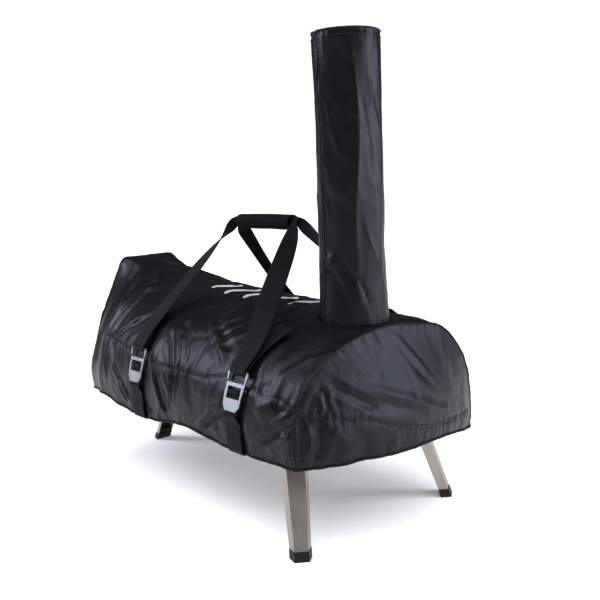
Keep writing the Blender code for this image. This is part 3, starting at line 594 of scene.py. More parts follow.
def tidy_mesh(piece: bpy.types.Object, merge: float = 1e-5, outward: bool = True) -> None:
    """Merge doubled points and turn the faces of a closed piece outwards.

    Args:
        piece: the piece.
        merge: points closer than this become one.
        outward: whether the normals are worked out again.
    """
    shape = bmesh.new()
    shape.from_mesh(piece.data)
    bmesh.ops.remove_doubles(shape, verts=shape.verts, dist=merge)
    if outward:
        bmesh.ops.recalc_face_normals(shape, faces=shape.faces)
    shape.to_mesh(piece.data)
    shape.free()


def grid_faces(rows: int, columns: int, wrap: bool = False) -> list:
    """Faces of a grid whose points run row by row.

    Args:
        rows: number of rows.
        columns: number of columns.
        wrap: whether the last column joins the first.

    Returns:
        The quads.
    """
    last = columns if wrap else columns - 1
    return [
        (
            r * columns + c,
            r * columns + (c + 1) % columns,
            (r + 1) * columns + (c + 1) % columns,
            (r + 1) * columns + c,
        )
        for r in range(rows - 1)
        for c in range(last)
    ]


def smooth_line(points: Array, step: float) -> Array:
    """Run an even, smooth line through points.

    Args:
        points: the points it passes through.
        step: the distance between the points it returns.

    Returns:
        Points on the line.
    """
    spaced = np.asarray(points, float)
    ends = np.vstack([2 * spaced[0] - spaced[1], spaced, 2 * spaced[-1] - spaced[-2]])
    fine = []
    for i in range(len(spaced) - 1):
        a, b, c, d = ends[i : i + 4]
        for t in np.linspace(0, 1, 12, endpoint=False):
            fine.append(
                0.5
                * (
                    2 * b
                    + (c - a) * t
                    + (2 * a - 5 * b + 4 * c - d) * t * t
                    + (3 * b - a - 3 * c + d) * t**3
                )
            )
    fine.append(spaced[-1])
    line = np.array(fine)
    run = np.concatenate([[0], np.cumsum(np.linalg.norm(np.diff(line[:, :3], axis=0), axis=1))])
    marks = np.linspace(0, run[-1], max(2, round(run[-1] / step) + 1))
    return np.stack([np.interp(marks, run, line[:, k]) for k in range(line.shape[1])], 1)


class Noise:
    """Smooth gradient noise that gives the same field on every run."""

    def __init__(self, seed: int) -> None:
        """Draw the lattice's gradients from a fixed seed."""
        chance = np.random.default_rng(seed)
        turns = chance.normal(size=(256, 3))
        self.slopes = turns / np.linalg.norm(turns, axis=1, keepdims=True)
        self.order = chance.permutation(256)

    def at(self, points: Array, size: float) -> Array:
        """Read the field.

        Args:
            points: places, in metres, along the last axis.
            size: the size of one wave in metres.

        Returns:
            Values between about -1 and 1.
        """
        scaled = points / size
        cell = np.floor(scaled).astype(np.int64)
        inside = scaled - cell
        ease = inside**3 * (inside * (inside * 6 - 15) + 10)
        total = np.zeros(points.shape[:-1])
        for corner in np.ndindex(2, 2, 2):
            key = self.order[(cell[..., 0] + corner[0]) & 255]
            key = self.order[(key + cell[..., 1] + corner[1]) & 255]
            key = self.order[(key + cell[..., 2] + corner[2]) & 255]
            share = np.ones(points.shape[:-1])
            for axis in range(3):
                share = share * (ease[..., axis] if corner[axis] else 1 - ease[..., axis])
            total += share * ((inside - np.array(corner)) * self.slopes[key]).sum(-1)
        return total * 1.6

    def ridged(self, points: Array, size: float) -> Array:
        """Read sharp ridges, 1 on a crest and about 0 between crests."""
        return np.clip(1 - 2.4 * np.abs(self.at(points, size)), 0, 1) ** 1.5


# ---------------------------------------------------------------- geometry node trees
class PathTree:
    """Builds the node trees that lay stitches and welts along a path."""

    def __init__(self, name: str, inputs: list[tuple[str, str, float]]) -> None:
        """Start a tree that takes a path's edges and named sizes.

        Args:
            name: the tree's name.
            inputs: socket name, socket type and default of each size.
        """
        self.tree = bpy.data.node_groups.new(name, "GeometryNodeTree")
        face = self.tree.interface
        face.new_socket("Geometry", in_out="INPUT", socket_type="NodeSocketGeometry")
        self.ids: dict[str, str] = {}
        for label, kind, value in inputs:
            socket = face.new_socket(label, in_out="INPUT", socket_type=kind)
            socket.default_value = value
            self.ids[label] = socket.identifier
        socket = face.new_socket("Finish", in_out="INPUT", socket_type="NodeSocketMaterial")
        self.ids["Finish"] = socket.identifier
        face.new_socket("Geometry", in_out="OUTPUT", socket_type="NodeSocketGeometry")
        self.start = self.tree.nodes.new("NodeGroupInput")

    def close(self, geometry: bpy.types.NodeSocket) -> None:
        """End the tree with real geometry, the finish and smooth shading."""
        real = add_node(self.tree, "GeometryNodeRealizeInstances", inputs={"Geometry": geometry})
        smooth = add_node(self.tree, "GeometryNodeSetShadeSmooth", inputs={"Geometry": real.outputs[0]})
        dressed = add_node(
            self.tree,
            "GeometryNodeSetMaterial",
            inputs={"Geometry": smooth.outputs[0], "Material": self.start.outputs["Finish"]},
        )
        add_node(self.tree, "NodeGroupOutput", inputs={0: dressed.outputs[0]})

    def lay(
        self, name: str, paths: list[Array], finish: Finish, sizes: dict[str, float], closed: bool = False
    ) -> bpy.types.Object:
        """Run the tree along paths and keep the result as a plain mesh.

        Args:
            name: the new piece's name.
            paths: one array of points for each run.
            finish: the finish of the result.
            sizes: a value for each named input.
            closed: whether each path joins its own start.

        Returns:
            The finished piece.
        """
        points: list = []
        edges: list = []
        for path in paths:
            first = len(points)
            points += [tuple(map(float, p)) for p in path]
            edges += [(first + i, first + i + 1) for i in range(len(path) - 1)]
            if closed:
                edges.append((len(points) - 1, first))
        route = bpy.data.meshes.new(name + "_route")
        route.from_pydata(points, edges, [])
        carrier = bpy.data.objects.new(name + "_route", route)
        bpy.context.scene.collection.objects.link(carrier)
        modifier = carrier.modifiers.new("lay", "NODES")
        modifier.node_group = self.tree
        for label, value in sizes.items():
            modifier[self.ids[label]] = value
        modifier[self.ids["Finish"]] = finish.material()
        carrier.update_tag()
        graph = bpy.context.evaluated_depsgraph_get()
        mesh = bpy.data.meshes.new_from_object(carrier.evaluated_get(graph))
        bpy.data.objects.remove(carrier)
        mesh.name = name
        made = bpy.data.objects.new(name, mesh)
        bpy.context.scene.collection.objects.link(made)
        return made


def stitch_tree() -> PathTree:
    """Tree that sews a run of short raised stitches along a path."""
    made = PathTree(
        "stitch_run",
        [
            ("Pitch", "NodeSocketFloat", 0.006),
            ("Length", "NodeSocketFloat", 0.004),
            ("Thread", "NodeSocketFloat", 0.0005),
        ],
    )
    tree, start = made.tree, made.start
    curve = add_node(tree, "GeometryNodeMeshToCurve", inputs={"Mesh": start.outputs["Geometry"]})
    marks = add_node(
        tree,
        "GeometryNodeResampleCurve",
        {"mode": "LENGTH"},
        {"Curve": curve.outputs[0], "Length": start.outputs["Pitch"]},
    )
    thread = add_node(
        tree,
        "GeometryNodeMeshCylinder",
        inputs={
            "Vertices": 6,
            "Side Segments": 3,
            "Radius": start.outputs["Thread"],
            "Depth": start.outputs["Length"],
        },
    )
    along = add_node(tree, "GeometryNodeInputTangent")
    turn = add_node(tree, "FunctionNodeAlignRotationToVector", {"axis": "Z"}, {"Vector": along.outputs[0]})
    runs = add_node(
        tree,
        "GeometryNodeInstanceOnPoints",
        inputs={
            "Points": marks.outputs[0], "Instance": thread.outputs["Mesh"], "Rotation": turn.outputs[0]
        },
    )
    made.close(runs.outputs[0])
    return made


def welt_tree() -> PathTree:
    """Tree that runs a round welt or cord along a path."""
    made = PathTree("welt_run", [("Radius", "NodeSocketFloat", 0.001), ("Step", "NodeSocketFloat", 0.003)])
    tree, start = made.tree, made.start
    curve = add_node(tree, "GeometryNodeMeshToCurve", inputs={"Mesh": start.outputs["Geometry"]})
    marks = add_node(
        tree,
        "GeometryNodeResampleCurve",
        {"mode": "LENGTH"},
        {"Curve": curve.outputs[0], "Length": start.outputs["Step"]},
    )
    ring = add_node(
        tree,
        "GeometryNodeCurvePrimitiveCircle",
        inputs={"Resolution": 8, "Radius": start.outputs["Radius"]},
    )
    tube = add_node(
        tree,
        "GeometryNodeCurveToMesh",
        inputs={"Curve": marks.outputs[0], "Profile Curve": ring.outputs[0], "Fill Caps": True},
    )
    made.close(tube.outputs[0])
    return made


# ---------------------------------------------------------------- cover
class Side(Enum):
    """Long sides of the cover."""

    NEAR = -1
    FAR = 1


@dataclass(frozen=True)
class Fold:
    """A fold in the cloth: a line over the cover that stands proud or sinks in."""

    height: float  # millimetres, negative for a valley
    width: float  # millimetres from the crest to where it dies out
    line: tuple[tuple[float, float, float], ...]  # millimetres

    def mirrored(self, height: float, shift: float) -> Fold:
        """The same fold on the other side, changed in height and moved along the oven."""
        return Fold(self.height * height, self.width, tuple((-x, y + shift, z) for x, y, z in self.line))


SIDE_FOLDS = (
    Fold(5, 4.5, ((-209, -234, 169), (-211, -272, 197), (-208, -303, 222), (-202, -322, 236))),
    Fold(-6, 5.5, ((-210, -269, 183), (-209, -303, 208), (-204, -334, 230))),
    Fold(3, 4, ((-208, -281, 171), (-208, -316, 194), (-207, -338, 211))),
    Fold(4, 12, ((-208, -253, 232), (-203, -281, 245), (-199, -300, 251))),
    Fold(-6, 4.5, ((-211, -112, 174), (-212, -153, 201), (-211, -190, 225))),
    Fold(3.5, 4.5, ((-211, -96, 174), (-212, -137, 203), (-211, -175, 227))),
    Fold(3.5, 5, ((-122, -34, 341), (-164, -103, 314), (-184, -146, 292), (-194, -165, 278))),
    Fold(-3, 6, ((-122, -49, 340), (-157, -115, 318), (-174, -153, 303))),
    Fold(2.5, 4.5, ((-148, -71, 326), (-121, -84, 338), (-97, -103, 345))),
    Fold(-2.5, 4.5, ((-129, -46, 338), (-98, -59, 347), (-59, -68, 354))),
    Fold(2.5, 4.5, ((-165, -112, 312), (-153, -137, 320), (-136, -153, 329))),
    Fold(-2.5, 4, ((-156, -96, 320), (-141, -115, 328), (-120, -128, 337))),
    Fold(-4, 4.5, ((-143, 17, 332), (-176, -34, 306), (-200, -62, 271))),
    Fold(4, 4.5, ((-149, 32, 329), (-189, -24, 291), (-209, -40, 243), (-212, -24, 189))),
    Fold(-4.5, 4.5, ((-167, 32, 316), (-199, -18, 274), (-212, -30, 226), (-211, -21, 184))),
    Fold(-6, 4, ((-195, 54, 281), (-209, 26, 244), (-212, 1, 194), (-211, -9, 174))),
    Fold(3, 4, ((-196, 29, 281), (-209, -2, 244), (-212, -24, 214))),
    Fold(-4, 3.5, ((-212, 79, 202), (-211, 64, 182), (-210, 45, 169))),
    Fold(-5, 4, ((-210, 161, 212), (-211, 145, 192), (-210, 129, 172))),
    Fold(3.5, 5, ((-189, 223, 276), (-204, 192, 241), (-210, 164, 214), (-210, 111, 177))),
    Fold(3.5, 4, ((-14, 346, 407), (-80, 289, 375), (-139, 248, 334), (-182, 248, 284))),
    Fold(3.2, 4, ((-8, 302, 390), (-66, 248, 371), (-126, 214, 344), (-184, 230, 284))),
    Fold(2.5, 4, ((-46, 349, 409), (-91, 314, 369), (-147, 264, 323), (-174, 267, 285))),
    Fold(2.5, 4, ((-152, 142, 327), (-171, 173, 309), (-186, 220, 282))),
    Fold(-2.5, 5, ((-138, 114, 336), (-164, 145, 318), (-187, 201, 282))),
    Fold(-3, 4.5, ((-67, 286, 381), (-115, 258, 351), (-172, 242, 301))),
    Fold(-3, 8, ((-104, 226, 356), (-86, 195, 361), (-65, 164, 363), (-30, 158, 365))),
)
ROOF_FOLDS = (
    Fold(-4, 5, ((-101, -175, 341), (-70, -184, 348), (-44, -193, 350))),
    Fold(3, 5, ((-76, -153, 348), (-34, -153, 353), (15, -134, 354))),
    Fold(-2.5, 5, ((-59, -118, 352), (-5, -103, 355), (52, -71, 355))),
    Fold(-1.5, 6, ((-106, 60, 348), (-72, 57, 356), (-37, 45, 359))),
)
FRONT_FOLDS = (
    Fold(2.7, 7, ((-137, -344, 287), (-108, -357, 268), (-47, -374, 248), (44, -385, 207), (173, -351, 160))),
    Fold(-3.6, 6, ((-143, -345, 278), (-123, -356, 262), (-89, -371, 239), (-65, -378, 230))),
    Fold(1.6, 5, ((-7, -339, 333), (24, -350, 306), (63, -370, 253), (115, -373, 208), (185, -346, 160))),
    Fold(-1.4, 7, ((14, -358, 289), (41, -368, 264), (82, -374, 233), (186, -344, 162))),
    Fold(1.5, 8, ((122, -343, 297), (127, -356, 260), (121, -369, 225), (186, -344, 165))),
    Fold(-1.5, 8, ((-132, -362, 236), (-79, -374, 236), (-7, -386, 214), (105, -376, 169))),
    Fold(-2.4, 3.5, ((-151, -345, 274), (-169, -344, 259), (-185, -343, 239))),
    Fold(1.8, 3.5, ((-161, -344, 266), (-158, -350, 249), (-165, -353, 233))),
    Fold(1.4, 4, ((-138, -348, 274), (-145, -353, 253), (-141, -361, 232))),
    Fold(-1.2, 4, ((-37, -338, 336), (-33, -342, 324), (-28, -351, 303))),
    Fold(-3.0, 3.5, ((-196, -340, 233), (-196, -344, 204), (-196, -344, 167))),
    Fold(2.1, 4, ((-186, -345, 230), (-184, -350, 202), (-188, -348, 165))),
    Fold(-3.6, 7, ((-173, -351, 228), (-170, -357, 199), (-180, -352, 168))),
    Fold(2.1, 10, ((-154, -361, 214), (-136, -369, 194), (-124, -371, 168))),
    Fold(-1.8, 9, ((-104, -377, 202), (-98, -379, 181), (-108, -374, 159))),
    Fold(1.8, 9, ((-41, -387, 182), (-44, -386, 167), (-60, -383, 159))),
)
LOW_SEAM = (
    (-197, -340, 234), (-174, -350, 231), (-152, -359, 226), (-123, -369, 220), (-88, -378, 212),
    (-51, -385, 199), (-10, -389, 185), (41, -386, 172), (90, -380, 163), (150, -360, 161),
    (188, -345, 159),
)
SIDE_SEAM = (
    (-185, 242, 282), (-186, 220, 282), (-199, 129, 272), (-204, 51, 261), (-205, -34, 260),
    (-204, -112, 259), (-198, -171, 269), (-199, -206, 263), (-198, -278, 256), (-196, -306, 254),
    (-199, -336, 240),
)
CORNER_SEAM = ((-202, -337, 227), (-208, -334, 198), (-206, -319, 162))


@dataclass
class CoverShape:
    """The cover's sewn form before the cloth creases."""

    stations: tuple = (
        (-0.3375, 0.208, 0.338, 0.0, 2.1),
        (-0.2635, 0.211, 0.347, 0.0, 2.2),
        (-0.15, 0.2125, 0.354, 0.0, 2.4),
        (0.0, 0.2125, 0.359, 0.0, 2.5),
        (0.12, 0.212, 0.363, 0.0, 2.4),
        (0.235, 0.207, 0.375, 0.02, 2.0),
        (0.30, 0.19, 0.390, 0.04, 1.6),
        (0.38, 0.15, 0.419, 0.058, 1.2),
    )
    hem_z: float = 0.157
    spring_z: float = 0.200
    tuck: float = 0.004
    front_bulge: float = 0.050
    front_belly: float = 0.0145
    rear_bulge: float = 0.0086
    rear_belly: float = 0.002
    chimney_y: float = -0.2635
    strap_ys: tuple[float, float] = (-0.205, 0.085)

    def station(self, y: float) -> tuple:
        """Half width, crown, flat half width and roundness at y."""
        rows = self.stations
        if y <= rows[0][0]:
            return rows[0][1:]
        for low, high in zip(rows, rows[1:]):
            if y <= high[0]:
                share = (y - low[0]) / (high[0] - low[0])
                share = share * share * (3 - 2 * share)
                return tuple(a + (b - a) * share for a, b in zip(low[1:], high[1:]))
        return rows[-1][1:]

    def arch(self, y: float, angle: float) -> tuple[float, float]:
        """X and Z on the right half of the arch at y; angle 0 is the side, 90 degrees the crown."""
        half, crown, flat, power = self.station(y)
        across = max(0.0, math.cos(angle)) ** (2 / power)
        rise = max(0.0, math.sin(angle)) ** (2 / power)
        return flat + (half - flat) * across, self.spring_z + (crown - self.spring_z) * rise

    def roof_z(self, x: float, y: float) -> float:
        """Height of the roof over a place."""
        half, crown, _, power = self.station(y)
        share = min(1.0, abs(x) / half)
        z = self.spring_z + (crown - self.spring_z) * (1 - share**power) ** (1 / power)
        return z + float(self.sag(np.array(x), np.array(y), np.array(z)))

    def sag(self, x: Array, y: Array, z: Array) -> Array:
        """How far the worn cover sits above or below its pattern at each place.

        Args:
            x: places across the oven.
            y: places along it.
            z: heights of the pattern.

        Returns:
            The lift in metres, below zero where the cloth hangs lower.
        """
        low = np.clip(1 - (z - self.hem_z) / 0.075, 0, 1)
        high = np.clip((z - 0.24) / 0.08, 0, 1)
        ahead = np.clip((-0.20 - y) / 0.10, 0, 1)
        shoulder = 0.013 * np.exp(-(((x - 0.145) / 0.050) ** 2)) * ahead * high
        waist = (
            (0.009 * np.exp(-(((y - 0.265) / 0.050) ** 2)) + 0.005 * np.exp(-(((y - 0.150) / 0.060) ** 2)))
            * high
        )
        collar = 0.0035 * np.exp(-((np.hypot(x, y - self.chimney_y) / 0.085) ** 2)) * high
        corner = (
            -(0.006 + 0.026 * np.clip((x - 0.03) / 0.17, 0, 1) ** 1.3)
            * np.clip((x + 0.10) / 0.10, 0, 1)
            * np.clip((-0.30 - y) / 0.04, 0, 1)
            * low
        )
        near = np.clip((-0.12 - x) / 0.05, 0, 1) * low
        lifted = 0.012 * np.exp(-(((y + 0.060) / 0.070) ** 2)) + 0.014 * np.exp(-(((y - 0.255) / 0.080) ** 2))
        return shoulder + waist + collar + corner + near * lifted

    def section(self, y: float, columns: int) -> Array:
        """Evenly spaced points of the cover's line at y, from the hem at +X to the hem at -X."""
        half = self.station(y)[0]
        right = [
            (half - self.tuck, self.hem_z),
            (half - self.tuck * 0.6, self.hem_z + 0.014),
            (half - self.tuck * 0.35, (self.hem_z + self.spring_z) / 2),
        ]
        right += [self.arch(y, math.pi / 2 * k / 120) for k in range(121)]
        right.append((0.0, self.station(y)[1]))
        line = np.array([(x, y, z) for x, z in right] + [(-x, y, z) for x, z in right[-2::-1]])
        run = np.concatenate([[0], np.cumsum(np.linalg.norm(np.diff(line, axis=0), axis=1))])
        marks = np.linspace(0, run[-1], columns)
        return np.stack([np.interp(marks, run, line[:, k]) for k in range(3)], 1)

    def panel(self, arc: Array, sign: int, bulge: float, belly: float, rows: int) -> list:
        """Rows from an end arch down to the bowed hem under it, without the arch itself."""
        across = 1 - 2 * np.arange(len(arc)) / (len(arc) - 1)
        bow = 1 - across**2
        if sign < 0:
            bow = 1 - np.abs(across) ** np.where(across > 0, 1.5, 2.4)
        foot = np.stack(
            [arc[0, 0] * across, arc[:, 1] + sign * bulge * bow, np.full(len(arc), self.hem_z)], 1
        )
        made = []
        for row in range(1, rows + 1):
            share = row / rows
            line = arc * (1 - share) + foot * share
            line[:, 1] += sign * belly * math.sin(math.pi * share**1.4) * bow
            made.append(line)
        return made

    def grid(self, columns: int, front: int, body: int, rear: int) -> Array:
        """The whole cover as rows of points from the front hem to the rear hem."""
        arcs = [
            self.section(y, columns) for y in np.linspace(self.stations[0][0], self.stations[-1][0], body)
        ]
        made = self.panel(arcs[0], -1, self.front_bulge, self.front_belly, front)[::-1] + arcs
        made += self.panel(arcs[-1], 1, self.rear_bulge, self.rear_belly, rear)
        whole = np.array(made)
        x, y, z = whole[..., 0], whole[..., 1], whole[..., 2]
        low_front = np.clip((-0.30 - y) / 0.04, 0, 1) * np.clip(1 - (z - self.hem_z) / 0.09, 0, 1)
        whole[..., 0] = x + 0.010 * np.clip((x - 0.10) / 0.10, 0, 1) * low_front
        whole[..., 2] += self.sag(whole[..., 0], whole[..., 1], whole[..., 2])
        return whole

    def side(self, y: float, angle: float, off: float = 0.0) -> tuple[Vector, Vector, Vector]:
        """A point over the +X side, the upward tangent and the outward normal there."""
        x, z = self.arch(y, angle)
        x0, z0 = self.arch(y, max(0.001, angle - 0.02))
        x1, z1 = self.arch(y, min(math.pi / 2, angle + 0.02))
        up = Vector((x1 - x0, 0.0, z1 - z0)).normalized()
        out = Vector((up.z, 0.0, -up.x))
        return Vector((x, y, z)) + out * off, up, out

    def side_angle(self, y: float, z: float) -> float:
        """The arch angle at which the side at y reaches height z."""
        _, crown, _, power = self.station(y)
        return math.asin(((z - self.spring_z) / (crown - self.spring_z)) ** (power / 2))


def line_distance(points: Array, line: Array) -> tuple[Array, Array]:
    """Distance of points from a line, and how far along it they are.

    Args:
        points: places, one per row.
        line: the line's corners.

    Returns:
        Distance in metres, and place along the line in metres.
    """
    best = np.full(len(points), 1e9)
    where = np.zeros(len(points))
    run = 0.0
    for a, b in zip(line, line[1:]):
        span = b - a
        length = float(np.linalg.norm(span))
        if length < 1e-9:
            continue
        share = np.clip((points - a) @ span / length**2, 0, 1)
        gap = np.linalg.norm(points - a - share[:, None] * span, axis=1)
        closer = gap < best
        best = np.where(closer, gap, best)
        where = np.where(closer, run + share * length, where)
        run += length
    return best, where


@dataclass
class ClothCover:
    """The cloth body of the cover, with its folds, seams, hem and printed motif."""

    shape: CoverShape = field(default_factory=CoverShape)
    columns: int = 241
    front_rows: int = 64
    body_rows: int = 204
    rear_rows: int = 34
    seed: int = 7
    hole_radius: float = 0.0575

    def __post_init__(self) -> None:
        """Lay out the plain surface and its outward normals."""
        self.base = self.shape.grid(self.columns, self.front_rows, self.body_rows, self.rear_rows)
        self.normal = self.normals(self.base)
        self.points = self.base.copy()
        self.noise = Noise(self.seed)

    @staticmethod
    def normals(grid: Array) -> Array:
        """Outward normals of a grid of points."""
        cross = np.cross(np.gradient(grid, axis=0), np.gradient(grid, axis=1))
        length = np.linalg.norm(cross, axis=2, keepdims=True)
        unit = cross / np.maximum(length, 1e-12)
        if ((grid - np.array([0, 0, 0.25])) * unit).sum() < 0:
            unit = -unit
        return unit

    def snap(self, line: tuple, steps: int = 5) -> Array:
        """Lay a line in millimetres onto the plain surface.

        Args:
            line: the line's corners in millimetres.
            steps: points per corner.

        Returns:
            Points of the surface under the line, in metres.
        """
        flat = self.base.reshape(-1, 3)
        smooth = smooth_line(np.array(line, float) / 1000, 0.012 if steps == 5 else 0.006)
        return np.array([flat[np.argmin(((flat - p) ** 2).sum(1))] for p in smooth])

    def fold_offset(self, folds: list[Fold]) -> Array:
        """How far the folds move each point of the cloth."""
        flat = self.base.reshape(-1, 3)
        total = np.zeros(len(flat))
        for fold in folds:
            line = self.snap(fold.line)
            width = fold.width / 1000
            reach = 3.6 * width
            near = np.flatnonzero(((flat > line.min(0) - reach) & (flat < line.max(0) + reach)).all(1))
            gap, where = line_distance(flat[near], line)
            length = np.linalg.norm(np.diff(line, axis=0), axis=1).sum()
            ends = np.clip(np.minimum(where, length - where) / (0.22 * length) + 0.12, 0, 1)
            crest = 1.1 * np.exp(-((gap / width) ** 1.1)) - 0.3 * np.exp(-(((gap / width - 2.2) / 0.8) ** 2))
            total[near] += fold.height / 1000 * crest * ends * ends * (3 - 2 * ends)
        return total.reshape(self.base.shape[:2])

    def seam_offset(self, line: Array, depth: float, reach: float, pleat: float) -> Array:
        """Puckers that cross a gathered seam.

        Args:
            line: the seam, in metres.
            depth: height of the puckers.
            reach: how far they run from the seam.
            pleat: their spacing along it.

        Returns:
            The offset of each point.
        """
        flat = self.base.reshape(-1, 3)
        total = np.zeros(len(flat))
        near = np.flatnonzero(((flat > line.min(0) - 4 * reach) & (flat < line.max(0) + 4 * reach)).all(1))
        gap, where = line_distance(flat[near], line)
        place_along = np.stack([where, np.zeros_like(where), gap * 0.15], 1)
        waves = self.noise.at(place_along, pleat) + 0.5 * self.noise.at(place_along + 3.1, pleat * 0.45)
        total[near] = depth * waves * np.exp(-gap / reach) - 0.5 * depth * np.exp(-((gap / 0.003) ** 2))
        return total.reshape(self.base.shape[:2])

    def crease(self) -> None:
        """Move the cloth: slow billows, crumples, folds, gathered seams and the straps' squeeze."""
        base = self.base
        x, y, z = base[..., 0], base[..., 1], base[..., 2]
        noise = self.noise
        mirrored = [f.mirrored(0.9, 9.0) for f in SIDE_FOLDS]
        offset = self.fold_offset([*SIDE_FOLDS, *ROOF_FOLDS, *FRONT_FOLDS, *mirrored, *self.rear_fans()])
        billow = 0.0030 * noise.at(base * np.array([1.0, 1.0, 0.7]), 0.105)
        hang = np.stack([x * 0.9, y, z * 0.42], -1)
        crumple = 0.0021 * noise.ridged(hang + 0.02 * noise.at(base, 0.09)[..., None], 0.062)
        crumple -= 0.0015 * noise.ridged(hang + 5.0, 0.048)
        small = 0.0005 * noise.ridged(base * np.array([1, 1, 0.7]) + 9.0, 0.021)
        calm = np.where(y < -0.335, 0.40, 1.0) * (0.55 + 0.45 * np.clip((0.345 - z) / 0.06, 0, 1))
        offset += billow * calm + (crumple + small) * calm
        hem = np.clip(1 - (z - self.shape.hem_z) / 0.032, 0, 1)
        pleats = np.stack([x, y, np.zeros_like(x)], -1)
        offset += hem * (0.0014 * noise.at(pleats, 0.026) + 0.0007 * noise.at(pleats, 0.011))
        offset += self.seam_offset(self.snap(LOW_SEAM, 9), 0.0022, 0.011, 0.010)
        for sign in (1, -1):
            seam = self.snap(tuple((sign * px, py, pz) for px, py, pz in SIDE_SEAM), 9)
            offset += self.seam_offset(seam, 0.0020, 0.010, 0.010)
        for row, reach in ((self.front_rows, 0.012), (self.front_rows + self.body_rows - 1, 0.012)):
            offset += self.seam_offset(base[row][::6], 0.0016, reach, 0.013)
        offset *= 1 - 0.9 * self.strap_mask()
        offset = self.limit(offset)
        for _ in range(1):
            inner = (offset[:-2, 1:-1] + offset[2:, 1:-1] + offset[1:-1, :-2] + offset[1:-1, 2:]) / 4
            offset[1:-1, 1:-1] = 0.8 * offset[1:-1, 1:-1] + 0.2 * inner
        self.points = base + self.normal * offset[..., None]
        wave = 0.0008 * noise.at(pleats, 0.055) * np.clip(1 - (z - self.shape.hem_z) / 0.02, 0, 1)
        self.points[..., 2] += wave

    def rear_fans(self) -> list[Fold]:
        """Folds that fan up the rear panel from its two low corners."""
        made = []
        for sign in (-1, 1):
            for low, high, tall in (
                (0.62, 0.25, 2.4), (0.45, 0.12, -2.0), (0.78, 0.45, 2.0), (0.3, 0.02, 1.6), (0.9, 0.7, -1.8)
            ):
                made.append(
                    Fold(
                        tall,
                        7,
                        (
                            (sign * 160 * low, 389, 165),
                            (sign * 150 * (low + high) / 2, 386, 260),
                            (sign * 120 * high, 381, 380),
                        ),
                    )
                )
        return made

    def strap_mask(self) -> Array:
        """Where the straps press the cloth flat, 0 to 1."""
        x, y, z = self.base[..., 0], self.base[..., 1], self.base[..., 2]
        total = np.zeros_like(y)
        for place_y in self.shape.strap_ys:
            total = np.maximum(total, np.exp(-(((y - place_y) / 0.027) ** 6)))
        low = np.clip((0.352 - z) / 0.01, 0, 1) * np.clip((np.abs(x) - 0.09) / 0.02, 0, 1)
        return total * low

    def limit(self, offset: Array) -> Array:
        """Keep the cloth off the oven inside it and within its own space."""
        softly = 0.0075
        return softly * np.tanh(offset / softly)

    def build(self) -> bpy.types.Object:
        """Make the cloth's mesh, open under the oven and under the sleeve."""
        rows, columns = self.points.shape[:2]
        flat = self.points.reshape(-1, 3)
        centre = self.base.reshape(-1, 3)
        away = np.hypot(centre[:, 0], centre[:, 1] - self.shape.chimney_y)
        inside = (away < self.hole_radius) & (centre[:, 2] > 0.3)
        faces = [f[::-1] for f in grid_faces(rows, columns) if not any(inside[list(f)])]
        along = np.concatenate(
            [[0], np.cumsum(np.linalg.norm(np.diff(self.base[:, columns // 2], axis=0), axis=1))]
        )
        across = np.concatenate(
            [[0], np.cumsum(np.linalg.norm(np.diff(self.base[rows // 2], axis=0), axis=1))]
        )
        uv = np.stack([np.tile(across, rows), np.repeat(along, columns)], 1)
        cloth = piece_of("cover_cloth", flat, faces, CLOTH, uv=uv)
        tidy_mesh(cloth, 2e-5, outward=False)
        first = cloth.data.polygons[len(cloth.data.polygons) // 2]
        if first.normal.dot(first.center - Vector((0, 0, 0.25))) < 0:
            cloth.data.flip_normals()
        return cloth

    def hem_line(self) -> Array:
        """The closed line of the hem."""
        p = self.points
        low = self.front_rows
        high = self.front_rows + self.body_rows - 1
        return np.vstack([p[0, 2:-2:3], p[low:high:3, -1], p[-1, -3:2:-3], p[high:low:-3, 0]])

    def over(self, line: Array, rise: float) -> Array:
        """Lift a line of plain-surface points onto the creased cloth.

        Args:
            line: points of the plain surface.
            rise: how far over the cloth they lie.

        Returns:
            The lifted points.
        """
        flat = self.base.reshape(-1, 3)
        moved = self.points.reshape(-1, 3) + self.normal.reshape(-1, 3) * rise
        return np.array([moved[np.argmin(((flat - p) ** 2).sum(1))] for p in line])


@dataclass
class Motif:
    """A generic printed motif of rising heat on the roof: five tapered waves."""

    rise: float = 0.0005

    def strokes(self) -> list[tuple[Array, Array]]:
        """Centre lines in plan with a width for each point, in metres."""
        made = []
        for y0, tall in ((-0.118, 0.036), (-0.058, 0.036), (0.000, 0.046), (0.058, 0.046), (0.112, 0.036)):
            t = np.linspace(0, 1, 40)
            line = np.stack([0.020 + tall * (t - 0.5) * 2, y0 + 0.011 * np.sin(t * 2 * math.pi)], 1)
            made.append((line, 0.017 * np.sin(math.pi * np.clip(t, 0.02, 0.98)) ** 0.6 + 0.001))
        return made

    def build(self, cloth: bpy.types.Object) -> bpy.types.Object:
        """Print the strokes onto the cloth."""
        tree = BVHTree.FromObject(cloth, bpy.context.evaluated_depsgraph_get())
        points: list = []
        faces: list = []
        for line, width in self.strokes():
            along = np.gradient(line, axis=0)
            along /= np.linalg.norm(along, axis=1, keepdims=True)
            side = np.stack([-along[:, 1], along[:, 0]], 1)
            first = len(points)
            for share in np.linspace(-0.5, 0.5, 7):
                for place_xy in line + side * (width * share)[:, None]:
                    hit, normal, _, _ = tree.ray_cast(
                        Vector((place_xy[0], place_xy[1], 0.6)), Vector((0, 0, -1))
                    )
                    points.append(hit + normal * (self.rise if normal.z > 0 else -self.rise))
            faces += [tuple(first + i for i in f) for f in grid_faces(7, len(line))]
        motif = piece_of("roof_motif", np.array(points), faces, INK)
        tidy_mesh(motif, 1e-6)
        if sum(f.normal.z for f in motif.data.polygons) < 0:
            motif.data.flip_normals()
        return motif


